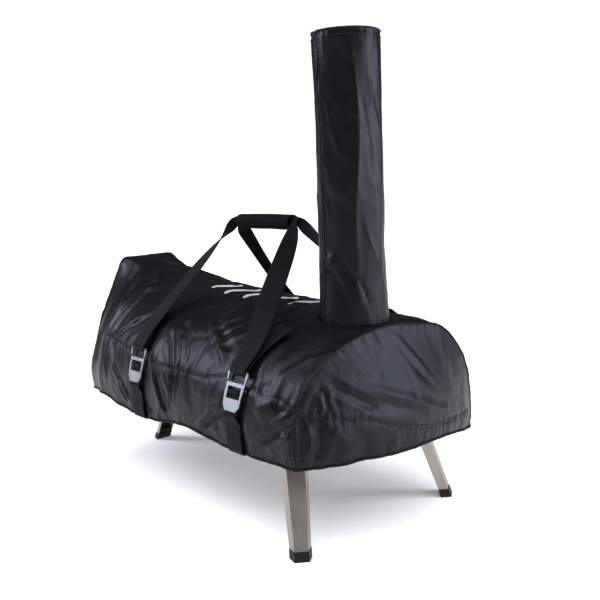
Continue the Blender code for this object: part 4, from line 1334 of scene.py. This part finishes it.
@dataclass
class ChimneySleeve:
    """The tall cloth sleeve over the chimney, with its sewn-in cap, side seam and gathered foot."""

    shape: CoverShape
    radius: float = 0.0536
    foot_radius: float = 0.0574
    top: float = 0.8030
    sides: int = 180
    rows: int = 190
    seam_angle: float = math.radians(167)
    facets: tuple[int, ...] = (-42, 14, 78, 139, 167, 236, 291)  # the cloth lies flatter between these angles
    # folds: height and width in millimetres, then angle in degrees and height in millimetres of each corner
    folds: tuple = (
        (2.6, 5.0, ((236, 745), (238, 640), (233, 520), (236, 420))),
        (-3.0, 4.5, ((196, 452), (216, 430), (240, 405), (252, 372))),
        (2.4, 5.0, ((190, 436), (208, 412), (222, 384), (226, 360))),
        (-2.2, 4.0, ((246, 700), (262, 640), (274, 560))),
        (2.0, 4.5, ((262, 745), (272, 690), (292, 640))),
        (-2.0, 4.5, ((205, 760), (214, 700), (207, 640))),
        (2.0, 4.5, ((180, 700), (196, 640), (214, 600))),
        (1.9, 4.0, ((250, 500), (268, 455), (290, 420))),
        (-1.8, 4.0, ((176, 560), (192, 520), (212, 500))),
        (2.0, 5.0, ((20, 700), (60, 560), (40, 420))),
        (-2.0, 5.0, ((110, 720), (90, 600), (130, 450))),
        (2.2, 5.0, ((320, 640), (345, 520), (318, 430))),
    )

    def fold_lift(self, z: Array) -> Array:
        """How far the folds move each point of the unrolled sleeve."""
        total = np.zeros(z.shape)
        for height, width, corners in self.folds:
            line = smooth_line(
                np.array([(math.radians(a) * self.radius, h / 1000, 0.0) for a, h in corners]), 0.012
            )
            for turn_back in (-2 * math.pi, 0.0, 2 * math.pi):
                flat = np.stack(
                    [
                        np.broadcast_to((self.turn + turn_back) * self.radius, z.shape).ravel(),
                        z.ravel(),
                        np.zeros(z.size),
                    ],
                    1,
                )
                gap, where = line_distance(flat, line)
                length = np.linalg.norm(np.diff(line, axis=0), axis=1).sum()
                ends = np.clip(np.minimum(where, length - where) / (0.25 * length) + 0.1, 0, 1)
                total += (height / 1000 * np.exp(-((gap * 1000 / width) ** 1.25)) * ends).reshape(z.shape)
        return total

    def facet_sink(self, z: Array) -> Array:
        """How far the flat panels between the creases lie inside the round."""
        drift = self.turn + math.radians(7) * np.sin(z * 17.0)
        sink = np.zeros(z.shape)
        for low, high in zip(self.facets, [*self.facets[1:], self.facets[0] + 360]):
            half = math.radians(high - low) / 2
            middle = math.radians(low + high) / 2
            away = (drift - middle + math.pi) % (2 * math.pi) - math.pi
            flat = self.radius * (1 - math.cos(half) / np.cos(np.clip(away, -half, half)))
            sink += np.where(np.abs(away) < half, flat, 0.0)
        return sink * np.clip((z - 0.36) / 0.05, 0, 1) * np.clip((self.top - 0.012 - z) / 0.04, 0, 1)

    def __post_init__(self) -> None:
        """Lay out the creased tube."""
        noise = Noise(21)
        self.turn = turn = np.linspace(0, 2 * math.pi, self.sides, endpoint=False)
        ring = np.stack([np.cos(turn), np.sin(turn)], 1)
        centre_y = self.shape.chimney_y
        foot = (
            np.array(
                [self.shape.roof_z(self.foot_radius * c, centre_y + self.foot_radius * s) for c, s in ring]
            )
            - 0.0015
        )
        share = np.linspace(0, 1, self.rows)[:, None]
        z = foot[None, :] * (1 - share) + (self.top - 0.006) * share
        low = np.clip(1 - (z - foot) / 0.12, 0, 1)
        radius = self.radius + (self.foot_radius - self.radius) * low**1.2
        round_at = [np.broadcast_to(ring[:, k] * self.radius, z.shape) for k in (0, 1)]
        place_at = np.stack([*round_at, z * 0.34], -1)
        offset = (
            0.0012 * noise.at(place_at, 0.046)
            + 0.0007 * noise.ridged(place_at + 2.0, 0.050)
            - 0.0006 * noise.ridged(place_at + 7.0, 0.040)
        )
        slant = place_at.copy()
        slant[..., 2] = z * 0.8 + 0.45 * place_at[..., 0]
        offset += 0.0006 * noise.ridged(slant, 0.050)
        offset += 0.8 * self.fold_lift(z) - 0.55 * self.facet_sink(z)
        along = np.stack([turn[None, :] * self.radius + 0 * z, 0 * z, 0 * z], -1)
        offset += 0.0018 * np.exp(-(z - foot) / 0.013) * noise.at(along, 0.008)
        offset += 0.0020 * np.exp(-(self.top - 0.006 - z) / 0.014) * noise.at(along + 0.3, 0.0065)
        offset -= 0.0012 * np.exp(-(((self.top - 0.010 - z) / 0.004) ** 2))
        # the cloth stays clear of the damper's knob, which stands out of the pipe at -X
        knob = np.exp(-((np.hypot((turn - math.pi) * self.radius, z - 0.440) / 0.016) ** 4))
        rim = np.clip((z - 0.72) / 0.04, 0, 1)
        radius = radius + np.clip(offset, -0.0050 + 0.0050 * knob + 0.0016 * rim, 0.0040)
        self.skin = np.stack([radius * ring[:, 0], centre_y + radius * ring[:, 1], z], -1)

    def build(self) -> bpy.types.Object:
        """Make the tube, open at its foot and at its rim."""
        count, sides = self.skin.shape[:2]
        uv = np.stack([np.tile(self.turn * self.radius, count), self.skin[..., 2].ravel()], 1)
        return piece_of(
            "sleeve_cloth", self.skin.reshape(-1, 3), grid_faces(count, sides, wrap=True), CLOTH, uv=uv
        )

    def cap(self) -> bpy.types.Object:
        """Make the round cap that is sewn into the rim and domes softly."""
        rim = self.skin[-1]
        centre = np.array([0, self.shape.chimney_y, 0])
        noise = Noise(5)
        rows = [rim]
        for share in (0.985, 0.94, 0.88, 0.80, 0.70, 0.58, 0.46, 0.34, 0.22, 0.10, 0.01):
            ring = centre + (rim - centre) * share
            ring[:, 2] = self.top - 0.0042 + 0.0036 * (1 - share**2) + 0.0016 * noise.at(ring, 0.028) * (
                1 - share
            )
            rows.append(ring)
        grid = np.array(rows)
        count, sides = grid.shape[:2]
        faces = grid_faces(count, sides, wrap=True)
        faces.append(tuple((count - 1) * sides + s for s in range(sides)))
        return piece_of("sleeve_cap", grid.reshape(-1, 3), faces, CLOTH, uv=grid.reshape(-1, 3)[:, :2])

    def ring_line(self, row: int, rise: float) -> Array:
        """A closed line round the sleeve at a row, standing off it."""
        line = self.skin[row].copy()
        line[:, 0] *= 1 + rise / self.radius
        line[:, 1] = self.shape.chimney_y + (line[:, 1] - self.shape.chimney_y) * (1 + rise / self.radius)
        return line

    def seam_line(self, shift: float, rise: float) -> Array:
        """A line up the sleeve beside its side seam."""
        index = int(round((self.seam_angle + shift / self.radius) / (2 * math.pi) * self.sides)) % self.sides
        line = self.skin[:, index].copy()
        line[:, 0] *= 1 + rise / self.radius
        line[:, 1] = self.shape.chimney_y + (line[:, 1] - self.shape.chimney_y) * (1 + rise / self.radius)
        return line


# ---------------------------------------------------------------- webbing
Stop = tuple[Vector, Vector, float]  # a point, the direction of the strap's width, and the share of its width


@dataclass
class StrapWork:
    """Carry webs, belly straps and strap ends."""

    shape: CoverShape
    width: float = 0.038
    thick: float = 0.0018
    gap: float = 0.0003
    buckle_z: float = 0.252
    buckle_height: float = 0.064
    standoff: float = 0.0048
    bar_r: float = 0.0018
    ladder_r: float = 0.0011
    ladder_rise: float = -0.001
    grip_y: float = -0.046
    grip_z: float = 0.500
    grip_length: float = 0.150
    split_z: float = 0.372
    tail_off: float = 0.0038

    def on_buckle(self, y: float, rise: float, off: float) -> Vector:
        """A point at a height along the buckle and a distance off the cloth, on the +X side."""
        origin, up, out = self.shape.side(y, self.shape.side_angle(y, self.buckle_z))
        return origin + up * rise + out * off

    def carry_half(self, y: float, lean: int, crest: tuple[float, float]) -> list[Stop]:
        """Stops of a carry web from its doubled tail, round the buckle bar and up to the grip."""
        width = Vector((0, 1, 0))
        turn = self.bar_r + self.gap + self.thick / 2
        bar = self.buckle_height / 2 - self.bar_r
        stops: list[Stop] = []
        start = self.shape.side_angle(y, self.buckle_z + 0.045)
        top = self.shape.side_angle(y, 0.335)
        for step in range(9):
            share = step / 8
            point = self.shape.side(
                y, top * (1 - share) + start * share, self.tail_off + 0.004 * (1 - share) ** 3
            )[0]
            stops.append((point + Vector((0, lean * 0.018 * (1 - share), 0)), width, 1.0))
        stops.append((self.on_buckle(y, bar + 0.005, self.standoff - turn), width, 1.0))
        for step in range(9):
            angle = math.pi * step / 8
            stops.append(
                (
                    self.on_buckle(
                        y, bar - turn * math.sin(angle), self.standoff - turn * math.cos(angle)
                    ),
                    width,
                    1.0,
                )
            )
        stops.append((self.on_buckle(y, bar + 0.006, self.standoff + turn), width, 1.0))
        leave = self.shape.side(y, self.shape.side_angle(y, self.buckle_z + 0.055), 0.0105)[0]
        stops.append((leave, width, 1.0))
        end = Vector((0.0040, self.grip_y + lean * (self.grip_length / 2 + 0.012), self.grip_z))
        corner = Vector((crest[0], y, crest[1]))
        pull = Vector((0.030, self.grip_y + lean * (self.grip_length / 2 + 0.026), self.grip_z - 0.030))
        across = Vector((-0.25, 0.0, 1.0)).normalized()
        twisted = Vector((0.55, 0.80, 0.25)).normalized() if lean < 0 else width
        for step in range(1, 13):
            share = step / 12
            a, b, c = leave.lerp(corner, share), corner.lerp(pull, share), pull.lerp(end, share)
            point = a.lerp(b, share).lerp(b.lerp(c, share), share)
            turned = width.lerp(twisted, min(1.0, share / 0.4)).lerp(
                across * -lean, max(0.0, (share - 0.4) / 0.6) ** 1.6
            )
            stops.append((point, turned, 1.0 - 0.55 * share**3.0))
        mouth = Vector((0.0040, self.grip_y + lean * (self.grip_length / 2 + 0.004), self.grip_z))
        stops.append((mouth, Vector((0, 0, -lean)), 0.45))
        return stops

    def carry_stops(self, side: Side) -> list[Stop]:
        """Stops of one whole carry web, from the front tail to the rear tail."""
        crest = (0.160, 0.338) if side is Side.NEAR else (0.152, 0.324)
        front = self.carry_half(self.shape.strap_ys[0], -1, crest)
        rear = self.carry_half(self.shape.strap_ys[1], 1, crest)
        inside = [
            (
                Vector(
                    (0.0040, self.grip_y - self.grip_length / 2 + self.grip_length * k / 6, self.grip_z)
                ),
                Vector((0, 0, 1)),
                0.45,
            )
            for k in range(1, 6)
        ]
        made: list[Stop] = []
        for point, across, share in [*front, *inside, *rear[::-1]]:
            if made and across.dot(made[-1][1]) < 0:
                across = -across
            made.append((point, across, share))
        if side is Side.NEAR:
            made = [(Vector((-p.x, p.y, p.z)), Vector((-w.x, w.y, w.z)), s) for p, w, s in made]
        return made

    def belly_stops(self, y: float) -> list[Stop]:
        """Stops of a belly strap, from buckle to buckle under the oven."""
        low = -self.buckle_height / 2 - 0.0043
        back = self.standoff - (self.ladder_r + self.gap + self.thick / 2)
        half = self.shape.station(y)[0]
        outside = half + self.gap + 0.0006 + self.thick / 2
        inside = half - 0.004 - 0.002 - 0.0012 - self.thick / 2
        under = 0.186 - self.gap - self.thick / 2
        hem = self.shape.hem_z
        right = [
            self.on_buckle(y, low, back),
            self.on_buckle(y, low - 0.004, back),
            Vector((outside + 0.0012, y, 0.203)),
            Vector((outside + 0.0008, y, 0.180)),
            Vector((outside - 0.0008, y, hem + 0.006)),
            Vector((outside - 0.0016, y, hem)),
            Vector((outside - 0.0045, y, hem - 0.0030)),
            Vector((inside + 0.0018, y, hem - 0.0030)),
            Vector((inside, y, hem)),
            Vector((inside - 0.003, y, hem + 0.008)),
            Vector((0.188, y, under - 0.004)),
            Vector((0.182, y, under)),
            Vector((0.09, y, under)),
        ]
        path = right + [Vector((-p.x, p.y, p.z)) for p in right[::-1]]
        last = len(path) - 1
        return [
            (p, Vector((0, 1, 0)), 0.8 if i in (0, 1, last - 1, last) else 1.0) for i, p in enumerate(path)
        ]

    def end_stops(self, side: Side, y: float) -> list[Stop]:
        """Stops of the lower web's end, up behind the buckle and round its ladder bar."""
        turn = self.ladder_r + self.gap + self.thick / 2
        low = -self.buckle_height / 2 - 0.004
        width = Vector((0, 1, 0))
        back = self.standoff - turn
        stops: list[Stop] = [
            (self.on_buckle(y, low, back), width, 0.8), (self.on_buckle(y, low / 2, back), width, 0.8)
        ]
        for step in range(9):
            angle = math.pi * step / 8
            stops.append(
                (
                    self.on_buckle(
                        y,
                        self.ladder_rise + turn * math.sin(angle),
                        self.standoff - turn * math.cos(angle),
                    ),
                    width,
                    0.72,
                )
            )
        stops.append(
            (self.on_buckle(y, self.ladder_rise - 0.0035, self.standoff + turn - 0.0004), width, 0.72)
        )
        if side is Side.NEAR:
            stops = [(Vector((-p.x, p.y, p.z)), w, s) for p, w, s in stops]
        return stops

    def strap(self, name: str, stops: list[Stop], step: float = 0.004) -> bpy.types.Object:
        """Weave a strap through its stops, with rounded selvedges.

        Args:
            name: the piece's name.
            stops: where it runs.
            step: length of its faces.

        Returns:
            The strap.
        """
        rows = np.array([(*p, *w.normalized(), s) for p, w, s in stops])
        runs = smooth_line(rows, step)
        half_thick = self.thick / 2
        outline = [
            (-0.5, 0.0), (-0.492, -0.8), (-0.47, -1.0), (-0.25, -0.94), (0.0, -0.94), (0.25, -0.94),
            (0.47, -1.0), (0.492, -0.8),
        ]
        outline += [(-a, -b) for a, b in outline]
        points = []
        uv = []
        length = 0.0
        for i, row in enumerate(runs):
            place_at = Vector(row[:3])
            before = Vector(runs[max(0, i - 1)][:3])
            after = Vector(runs[min(len(runs) - 1, i + 1)][:3])
            along = (after - before).normalized()
            if i:
                length += (place_at - before).length
            across = Vector(row[3:6])
            across = (across - along * across.dot(along)).normalized()
            face = along.cross(across)
            wide = self.width * float(row[6])
            for a, b in outline:
                points.append(place_at + across * (a * wide) + face * (b * half_thick))
                uv.append((a * self.width, length))
        ring = len(outline)
        faces = [f for f in grid_faces(len(runs), ring, wrap=True)]
        faces.append(tuple(range(ring))[::-1])
        faces.append(tuple(range((len(runs) - 1) * ring, len(runs) * ring)))
        made = piece_of(name, np.array(points), faces, STRAP, uv=np.array(uv))
        tidy_mesh(made, 1e-7)
        return made

    def split(self, stops: list[Stop]) -> tuple[list[Stop], list[Stop], list[Stop]]:
        """Part a carry web where it passes the split height: front foot, free loop, rear foot."""
        cuts: list[tuple[int, Stop]] = []
        for i, (a, b) in enumerate(zip(stops, stops[1:])):
            if (a[0].z - self.split_z) * (b[0].z - self.split_z) < 0:
                share = (self.split_z - a[0].z) / (b[0].z - a[0].z)
                cuts.append(
                    (i, (a[0].lerp(b[0], share), a[1].lerp(b[1], share), a[2] + (b[2] - a[2]) * share))
                )
        (first, low), (last, high) = cuts[0], cuts[-1]
        return stops[: first + 1] + [low], [low, *stops[first + 1 : last + 1], high], [
            high, *stops[last + 1 :]
        ]


@dataclass
class PaddedGrip:
    """The foam-padded wrap that closes round both carry webs."""

    centre_y: float = -0.046
    centre_z: float = 0.500
    length: float = 0.150
    half: tuple[float, float] = (0.0150, 0.0135)
    wall: float = 0.0030
    cap_mm: float = 1.2

    def blank(self) -> bpy.types.Object:
        """The wrap before it is stuffed: a tube with a wall."""
        rings = []
        sides = 28
        low, high = self.centre_y - self.length / 2, self.centre_y + self.length / 2
        inner = (self.half[0] - self.wall, self.half[1] - self.wall)
        stations = np.linspace(low + 0.003, high - 0.003, 26)
        route = [(inner, low + 0.001)] + [((inner[0], inner[1]), y) for y in stations] + [
            (inner, high - 0.001)
        ]
        route += [((self.half[0] - 0.0007, self.half[1] - 0.0007), high)] + [
            (self.half, y) for y in stations[::-1]
        ]
        route += [((self.half[0] - 0.0007, self.half[1] - 0.0007), low)]
        for half, y in route:
            rings.append(
                [
                    (
                        half[0] * math.cos(2 * math.pi * s / sides),
                        y,
                        self.centre_z + half[1] * math.sin(2 * math.pi * s / sides),
                    )
                    for s in range(sides)
                ]
            )
        points = np.array(rings).reshape(-1, 3)
        faces = grid_faces(len(rings), sides, wrap=True)
        last = (len(rings) - 1) * sides
        faces += [(last + s, last + (s + 1) % sides, (s + 1) % sides, s) for s in range(sides)]
        made = piece_of("grip_pad", points, faces, GRIP)
        tidy_mesh(made, 1e-6)
        return made

    def stuff(self, pad: bpy.types.Object) -> None:
        """Swell the wrap with a short cloth simulation, capped so that it keeps its size."""
        rest = np.array([v.co for v in pad.data.vertices])
        cloth = pad.modifiers.new("swell", "CLOTH")
        cloth.settings.use_pressure = True
        cloth.settings.uniform_pressure_force = 4.0
        cloth.settings.effector_weights.gravity = 0.0
        cloth.settings.quality = 6
        cloth.point_cache.frame_start = 1
        cloth.point_cache.frame_end = 14
        scene = bpy.context.scene
        for step in range(1, 15):
            scene.frame_set(step)
        graph = bpy.context.evaluated_depsgraph_get()
        swollen = np.array([v.co for v in pad.evaluated_get(graph).data.vertices])
        pad.modifiers.remove(cloth)
        scene.frame_set(1)
        move = swollen - rest
        size = np.linalg.norm(move, axis=1, keepdims=True)
        cap = self.cap_mm / 1000
        noise = Noise(33)
        dents = 0.0007 * noise.at(rest * np.array([1, 0.6, 1]), 0.022)
        centre = np.array([0, 0, self.centre_z])
        out = (rest - centre) * np.array([1, 0, 1])
        out /= np.maximum(np.linalg.norm(out, axis=1, keepdims=True), 1e-6)
        final = rest + move / np.maximum(size, 1e-9) * np.minimum(size, cap) + out * dents[:, None]
        pad.data.vertices.foreach_set("co", final.astype(np.float32).ravel())
        pad.data.update()

    def build(self) -> bpy.types.Object:
        """Make the stuffed wrap and smooth it once."""
        pad = self.blank()
        self.stuff(pad)
        smooth = pad.modifiers.new("smooth", "SUBSURF")
        smooth.levels = smooth.render_levels = 1
        return pad

    def edge(self, angle: float, out: float) -> Array:
        """A line along the wrap at an angle round it."""
        y = np.linspace(self.centre_y - self.length / 2 + 0.004, self.centre_y + self.length / 2 - 0.004, 40)
        x = (self.half[0] + out) * math.cos(angle)
        z = self.centre_z + (self.half[1] + out) * math.sin(angle)
        return np.stack([np.full(40, x), y, np.full(40, z)], 1)


# ---------------------------------------------------------------- hardware and stage
@dataclass
class Hardware:
    """The oven's own steel, stone and plastic, and the buckles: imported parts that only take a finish."""

    steel: tuple[str, ...] = (
        "base_tray", "front_fascia", "front_shelf", "door_panel", "door_post_left", "door_post_right",
        "stone_carrier", "stone_rail_left", "stone_rail_right", "inner_liner", "fuel_tray", "fuel_grate",
        "hatch_pin",
    )
    upright: tuple[str, ...] = (
        "leg_left", "leg_right", "leg_rear", "bracket_left", "bracket_right", "bracket_rear",
        "hinge_pin_left", "hinge_pin_right", "hinge_pin_rear", "chimney_collar", "chimney_pipe",
        "chimney_cap", "baffle_disc",
    )
    coated: tuple[str, ...] = (
        "outer_casing", "rear_wall", "fuel_box", "hatch_lid", "hatch_knob", "baffle_knob"
    )
    plastic: tuple[str, ...] = ("door_grip", "foot_cap_left", "foot_cap_right", "foot_cap_rear")
    plates: tuple[str, ...] = ("buckle_near_front", "buckle_near_rear", "buckle_far_front", "buckle_far_rear")

    def dress(self) -> None:
        """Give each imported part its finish."""
        table = (
            (self.steel, STEEL_ALONG), (self.upright, STEEL), (self.coated, COAT), (self.plastic, PLASTIC),
            (self.plates, BUCKLE), (("baking_stone",), STONE), (("insulation_blanket",), BLANKET),
        )
        for names, finish in table:
            for name in names:
                part = frame["nodes"][name]
                part.data.materials.clear()
                part.data.materials.append(finish.material())
            LOG.info("%s on %d parts", finish.name, len(names))


@dataclass
class Studio:
    """Camera, pale floor and soft light."""

    eye: tuple[float, float, float] = (-0.927, -1.1885, 0.578)
    heading: float = 41.21
    dip: float = 8.70
    roll: float = -2.27
    focal_share: float = 805.3 / 600.0  # focal length over the sensor's width

    def camera(self) -> None:
        """Place the camera."""
        yaw, pitch, roll = map(math.radians, (self.heading, self.dip, self.roll))
        forward = Vector((math.sin(yaw) * math.cos(pitch), math.cos(yaw) * math.cos(pitch), -math.sin(pitch)))
        right = Vector((math.cos(yaw), -math.sin(yaw), 0))
        up = right.cross(forward)
        right, up = right * math.cos(roll) + up * math.sin(roll), up * math.cos(roll) - right * math.sin(roll)
        data = bpy.data.cameras.new("camera")
        data.sensor_width = 36.0
        data.lens = 36.0 * self.focal_share
        data.clip_start = 0.02
        made = bpy.data.objects.new("camera", data)
        bpy.context.scene.collection.objects.link(made)
        turn = Matrix((right, up, -forward)).transposed()
        made.matrix_world = Matrix.Translation(Vector(self.eye)) @ turn.to_4x4()
        bpy.context.scene.camera = made

    def lamp(
        self, name: str, at: tuple, size: tuple, power: float, aim: tuple = (0.0, 0.0, 0.3),
        tone: str = "#ffffff",
    ) -> None:
        """Hang a soft box that looks at the oven."""
        data = bpy.data.lights.new(name, "AREA")
        data.shape = "RECTANGLE"
        data.size, data.size_y = size
        data.energy = power
        data.color = linear(tone)[:3]
        made = bpy.data.objects.new(name, data)
        made.location = at
        made.rotation_euler = (Vector(aim) - Vector(at)).to_track_quat("-Z", "Y").to_euler()
        bpy.context.scene.collection.objects.link(made)

    def sky(self) -> None:
        """A wide, soft light from above that keeps the floor white out to the horizon."""
        data = bpy.data.lights.new("sky", "SUN")
        data.energy = 3.4
        data.angle = math.radians(80)
        made = bpy.data.objects.new("sky", data)
        made.rotation_euler = (math.radians(12), math.radians(-14), 0)
        bpy.context.scene.collection.objects.link(made)

    def world(self) -> None:
        """A white backdrop that lights the oven softly."""
        made = bpy.data.worlds.new("studio")
        made.use_nodes = True
        tree = made.node_tree
        tree.nodes.clear()
        seen = add_node(tree, "ShaderNodeLightPath")
        strength = spread(tree, seen.outputs["Is Camera Ray"], 0.13, 1.05)
        light = add_node(tree, "ShaderNodeBackground", inputs={"Color": (1, 1, 1, 1), "Strength": strength})
        add_node(tree, "ShaderNodeOutputWorld", inputs={"Surface": light.outputs[0]})
        bpy.context.scene.world = made

    def floor(self) -> None:
        """A plain pale floor."""
        side = 60.0
        points = np.array([(-side, -side, 0), (side, -side, 0), (side, side, 0), (-side, side, 0)])
        finish = Finish("pale_floor", "#f6f4ef", 0.9, glow=0.22)
        made = piece_of("floor", points, [(0, 1, 2, 3)], finish, smooth=False)

    def build(self) -> None:
        """Set the whole stage."""
        self.camera()
        self.world()
        self.floor()
        self.sky()
        self.lamp("left_box", (-1.7, 2.0, 1.75), (1.0, 1.8), 66.0, aim=(-0.1, 0.1, 0.25), tone="#e2e9ff")
        self.lamp("right_box", (1.7, -1.9, 1.2), (0.9, 2.0), 46.0, tone="#e2e9ff")
        self.lamp("sleeve_box", (0.80, -2.5, 0.75), (1.3, 1.2), 21.0, aim=(0.0, -0.26, 0.55), tone="#e2e9ff")
        scene = bpy.context.scene
        scene.view_settings.view_transform = "Standard"
        scene.view_settings.look = "None"
        scene.view_settings.gamma = 0.80


# ---------------------------------------------------------------- assembly
def settle(piece: bpy.types.Object, body: str, slot: str, *nodes: str) -> bpy.types.Object:
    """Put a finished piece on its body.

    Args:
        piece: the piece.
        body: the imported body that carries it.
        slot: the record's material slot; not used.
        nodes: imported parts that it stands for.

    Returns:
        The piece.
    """
    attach(piece, body)
    if nodes:
        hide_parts(*nodes)
    LOG.info("%s rides on %s with %d points", piece.name, body, len(piece.data.vertices))
    return piece


def sew_cover(stitches: PathTree, welts: PathTree) -> None:
    """Build the cover's cloth, sleeve, seams, hem and motif."""
    cover = ClothCover()
    cover.crease()
    cloth = cover.build()
    motif = Motif().build(cloth)
    sleeve_work = ChimneySleeve(cover.shape)
    sleeve = sleeve_work.build()
    cap = sleeve_work.cap()
    base = cover.base
    front = cover.front_rows
    rear = cover.front_rows + cover.body_rows - 1
    arch_front = base[front][3:-3:2]
    arch_rear = base[rear][3:-3:2]
    low = cover.snap(LOW_SEAM, 9)
    sides = [cover.snap(tuple((s * x, y, z) for x, y, z in SIDE_SEAM), 9) for s in (1, -1)]
    corners = [cover.snap(tuple((s * x, y, z) for x, y, z in CORNER_SEAM), 9) for s in (1, -1)]
    size = {"Pitch": 0.0062, "Length": 0.0040, "Thread": 0.00045}
    topstitch = [cover.over(base[front + 2][3:-3:2], 0.0005), cover.over(base[rear - 2][3:-3:2], 0.0005)]
    topstitch += [cover.over(line + np.array([0, 0, 0.005]), 0.0005) for line in (low, *sides)]
    seams = stitches.lay("cover_stitches", topstitch, THREAD, size)
    welted = [cover.over(line, 0.0002) for line in (arch_front, arch_rear)]
    welt = welts.lay("cover_welts", welted, CLOTH, {"Radius": 0.0011, "Step": 0.004})
    tucks = welts.lay(
        "cover_tucks",
        [cover.over(line, -0.0001) for line in (low, *sides, *corners)],
        CLOTH,
        {"Radius": 0.0008, "Step": 0.004},
    )
    hem = welts.lay("cover_hem", [cover.hem_line()], BINDING, {"Radius": 0.0022, "Step": 0.004}, closed=True)
    rim = welts.lay(
        "sleeve_welts",
        [sleeve_work.ring_line(-1, 0.0002)],
        CLOTH,
        {"Radius": 0.0010, "Step": 0.004},
        closed=True,
    )
    runs = [
        sleeve_work.seam_line(0.004, 0.0004),
        sleeve_work.ring_line(-5, 0.0005),
        sleeve_work.ring_line(3, 0.0005),
    ]
    sleeve_thread = stitches.lay("sleeve_stitches", runs, THREAD, size)
    side_welt = welts.lay(
        "sleeve_side_seam", [sleeve_work.seam_line(0.0, 0.0002)], CLOTH, {"Radius": 0.0009, "Step": 0.004}
    )
    settle(cloth, "cover", "cover_cloth", "cover_body")
    settle(sleeve, "cover", "cover_cloth", "chimney_sleeve")
    settle(cap, "cover", "cover_cloth")
    for trim in (motif, seams, welt, tucks, hem, rim, sleeve_thread, side_welt):
        settle(trim, "cover", "cover_cloth")


def rig_straps(shape: CoverShape, stitches: PathTree) -> None:
    """Build the webs, straps and the padded grip with its stitches."""
    work = StrapWork(shape)
    for side, word in ((Side.NEAR, "near"), (Side.FAR, "far")):
        front, loop, rear = work.split(work.carry_stops(side))
        upper = settle(work.strap(f"carry_loop_{word}", loop), "cover", "webbing", f"carry_web_{word}")
        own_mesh(upper)
        settle(work.strap(f"carry_foot_{word}_front", front, 0.0022), "cover", "webbing")
        settle(work.strap(f"carry_foot_{word}_rear", rear, 0.0022), "cover", "webbing")
        for y, place_word in zip(shape.strap_ys, ("front", "rear")):
            name = f"{word}_{place_word}"
            settle(
                work.strap(f"lower_web_{name}", work.end_stops(side, y), 0.0012),
                f"buckle_{name}",
                "webbing",
                f"strap_end_{name}",
            )
    for y, place_word in zip(shape.strap_ys, ("front", "rear")):
        settle(
            work.strap(f"belly_web_{place_word}", work.belly_stops(y)),
            "oven",
            "webbing",
            f"belly_strap_{place_word}",
        )
    grip = PaddedGrip()
    pad = settle(grip.build(), "grip", "grip_cloth", "grip_wrap")
    edges = [grip.edge(a, 0.0012) for a in (math.radians(200), math.radians(222), math.radians(20))]
    settle(
        stitches.lay("grip_stitches", edges, THREAD, {"Pitch": 0.005, "Length": 0.0032, "Thread": 0.0004}),
        "grip",
        "grip_cloth",
    )


def main() -> None:
    """Build the oven's looks in order."""
    logging.basicConfig(level=logging.INFO, format="%(message)s")
    Studio().build()
    stitches = stitch_tree()
    welts = welt_tree()
    sew_cover(stitches, welts)
    rig_straps(CoverShape(), stitches)
    Hardware().dress()


if __name__ == "__main__":
    main()
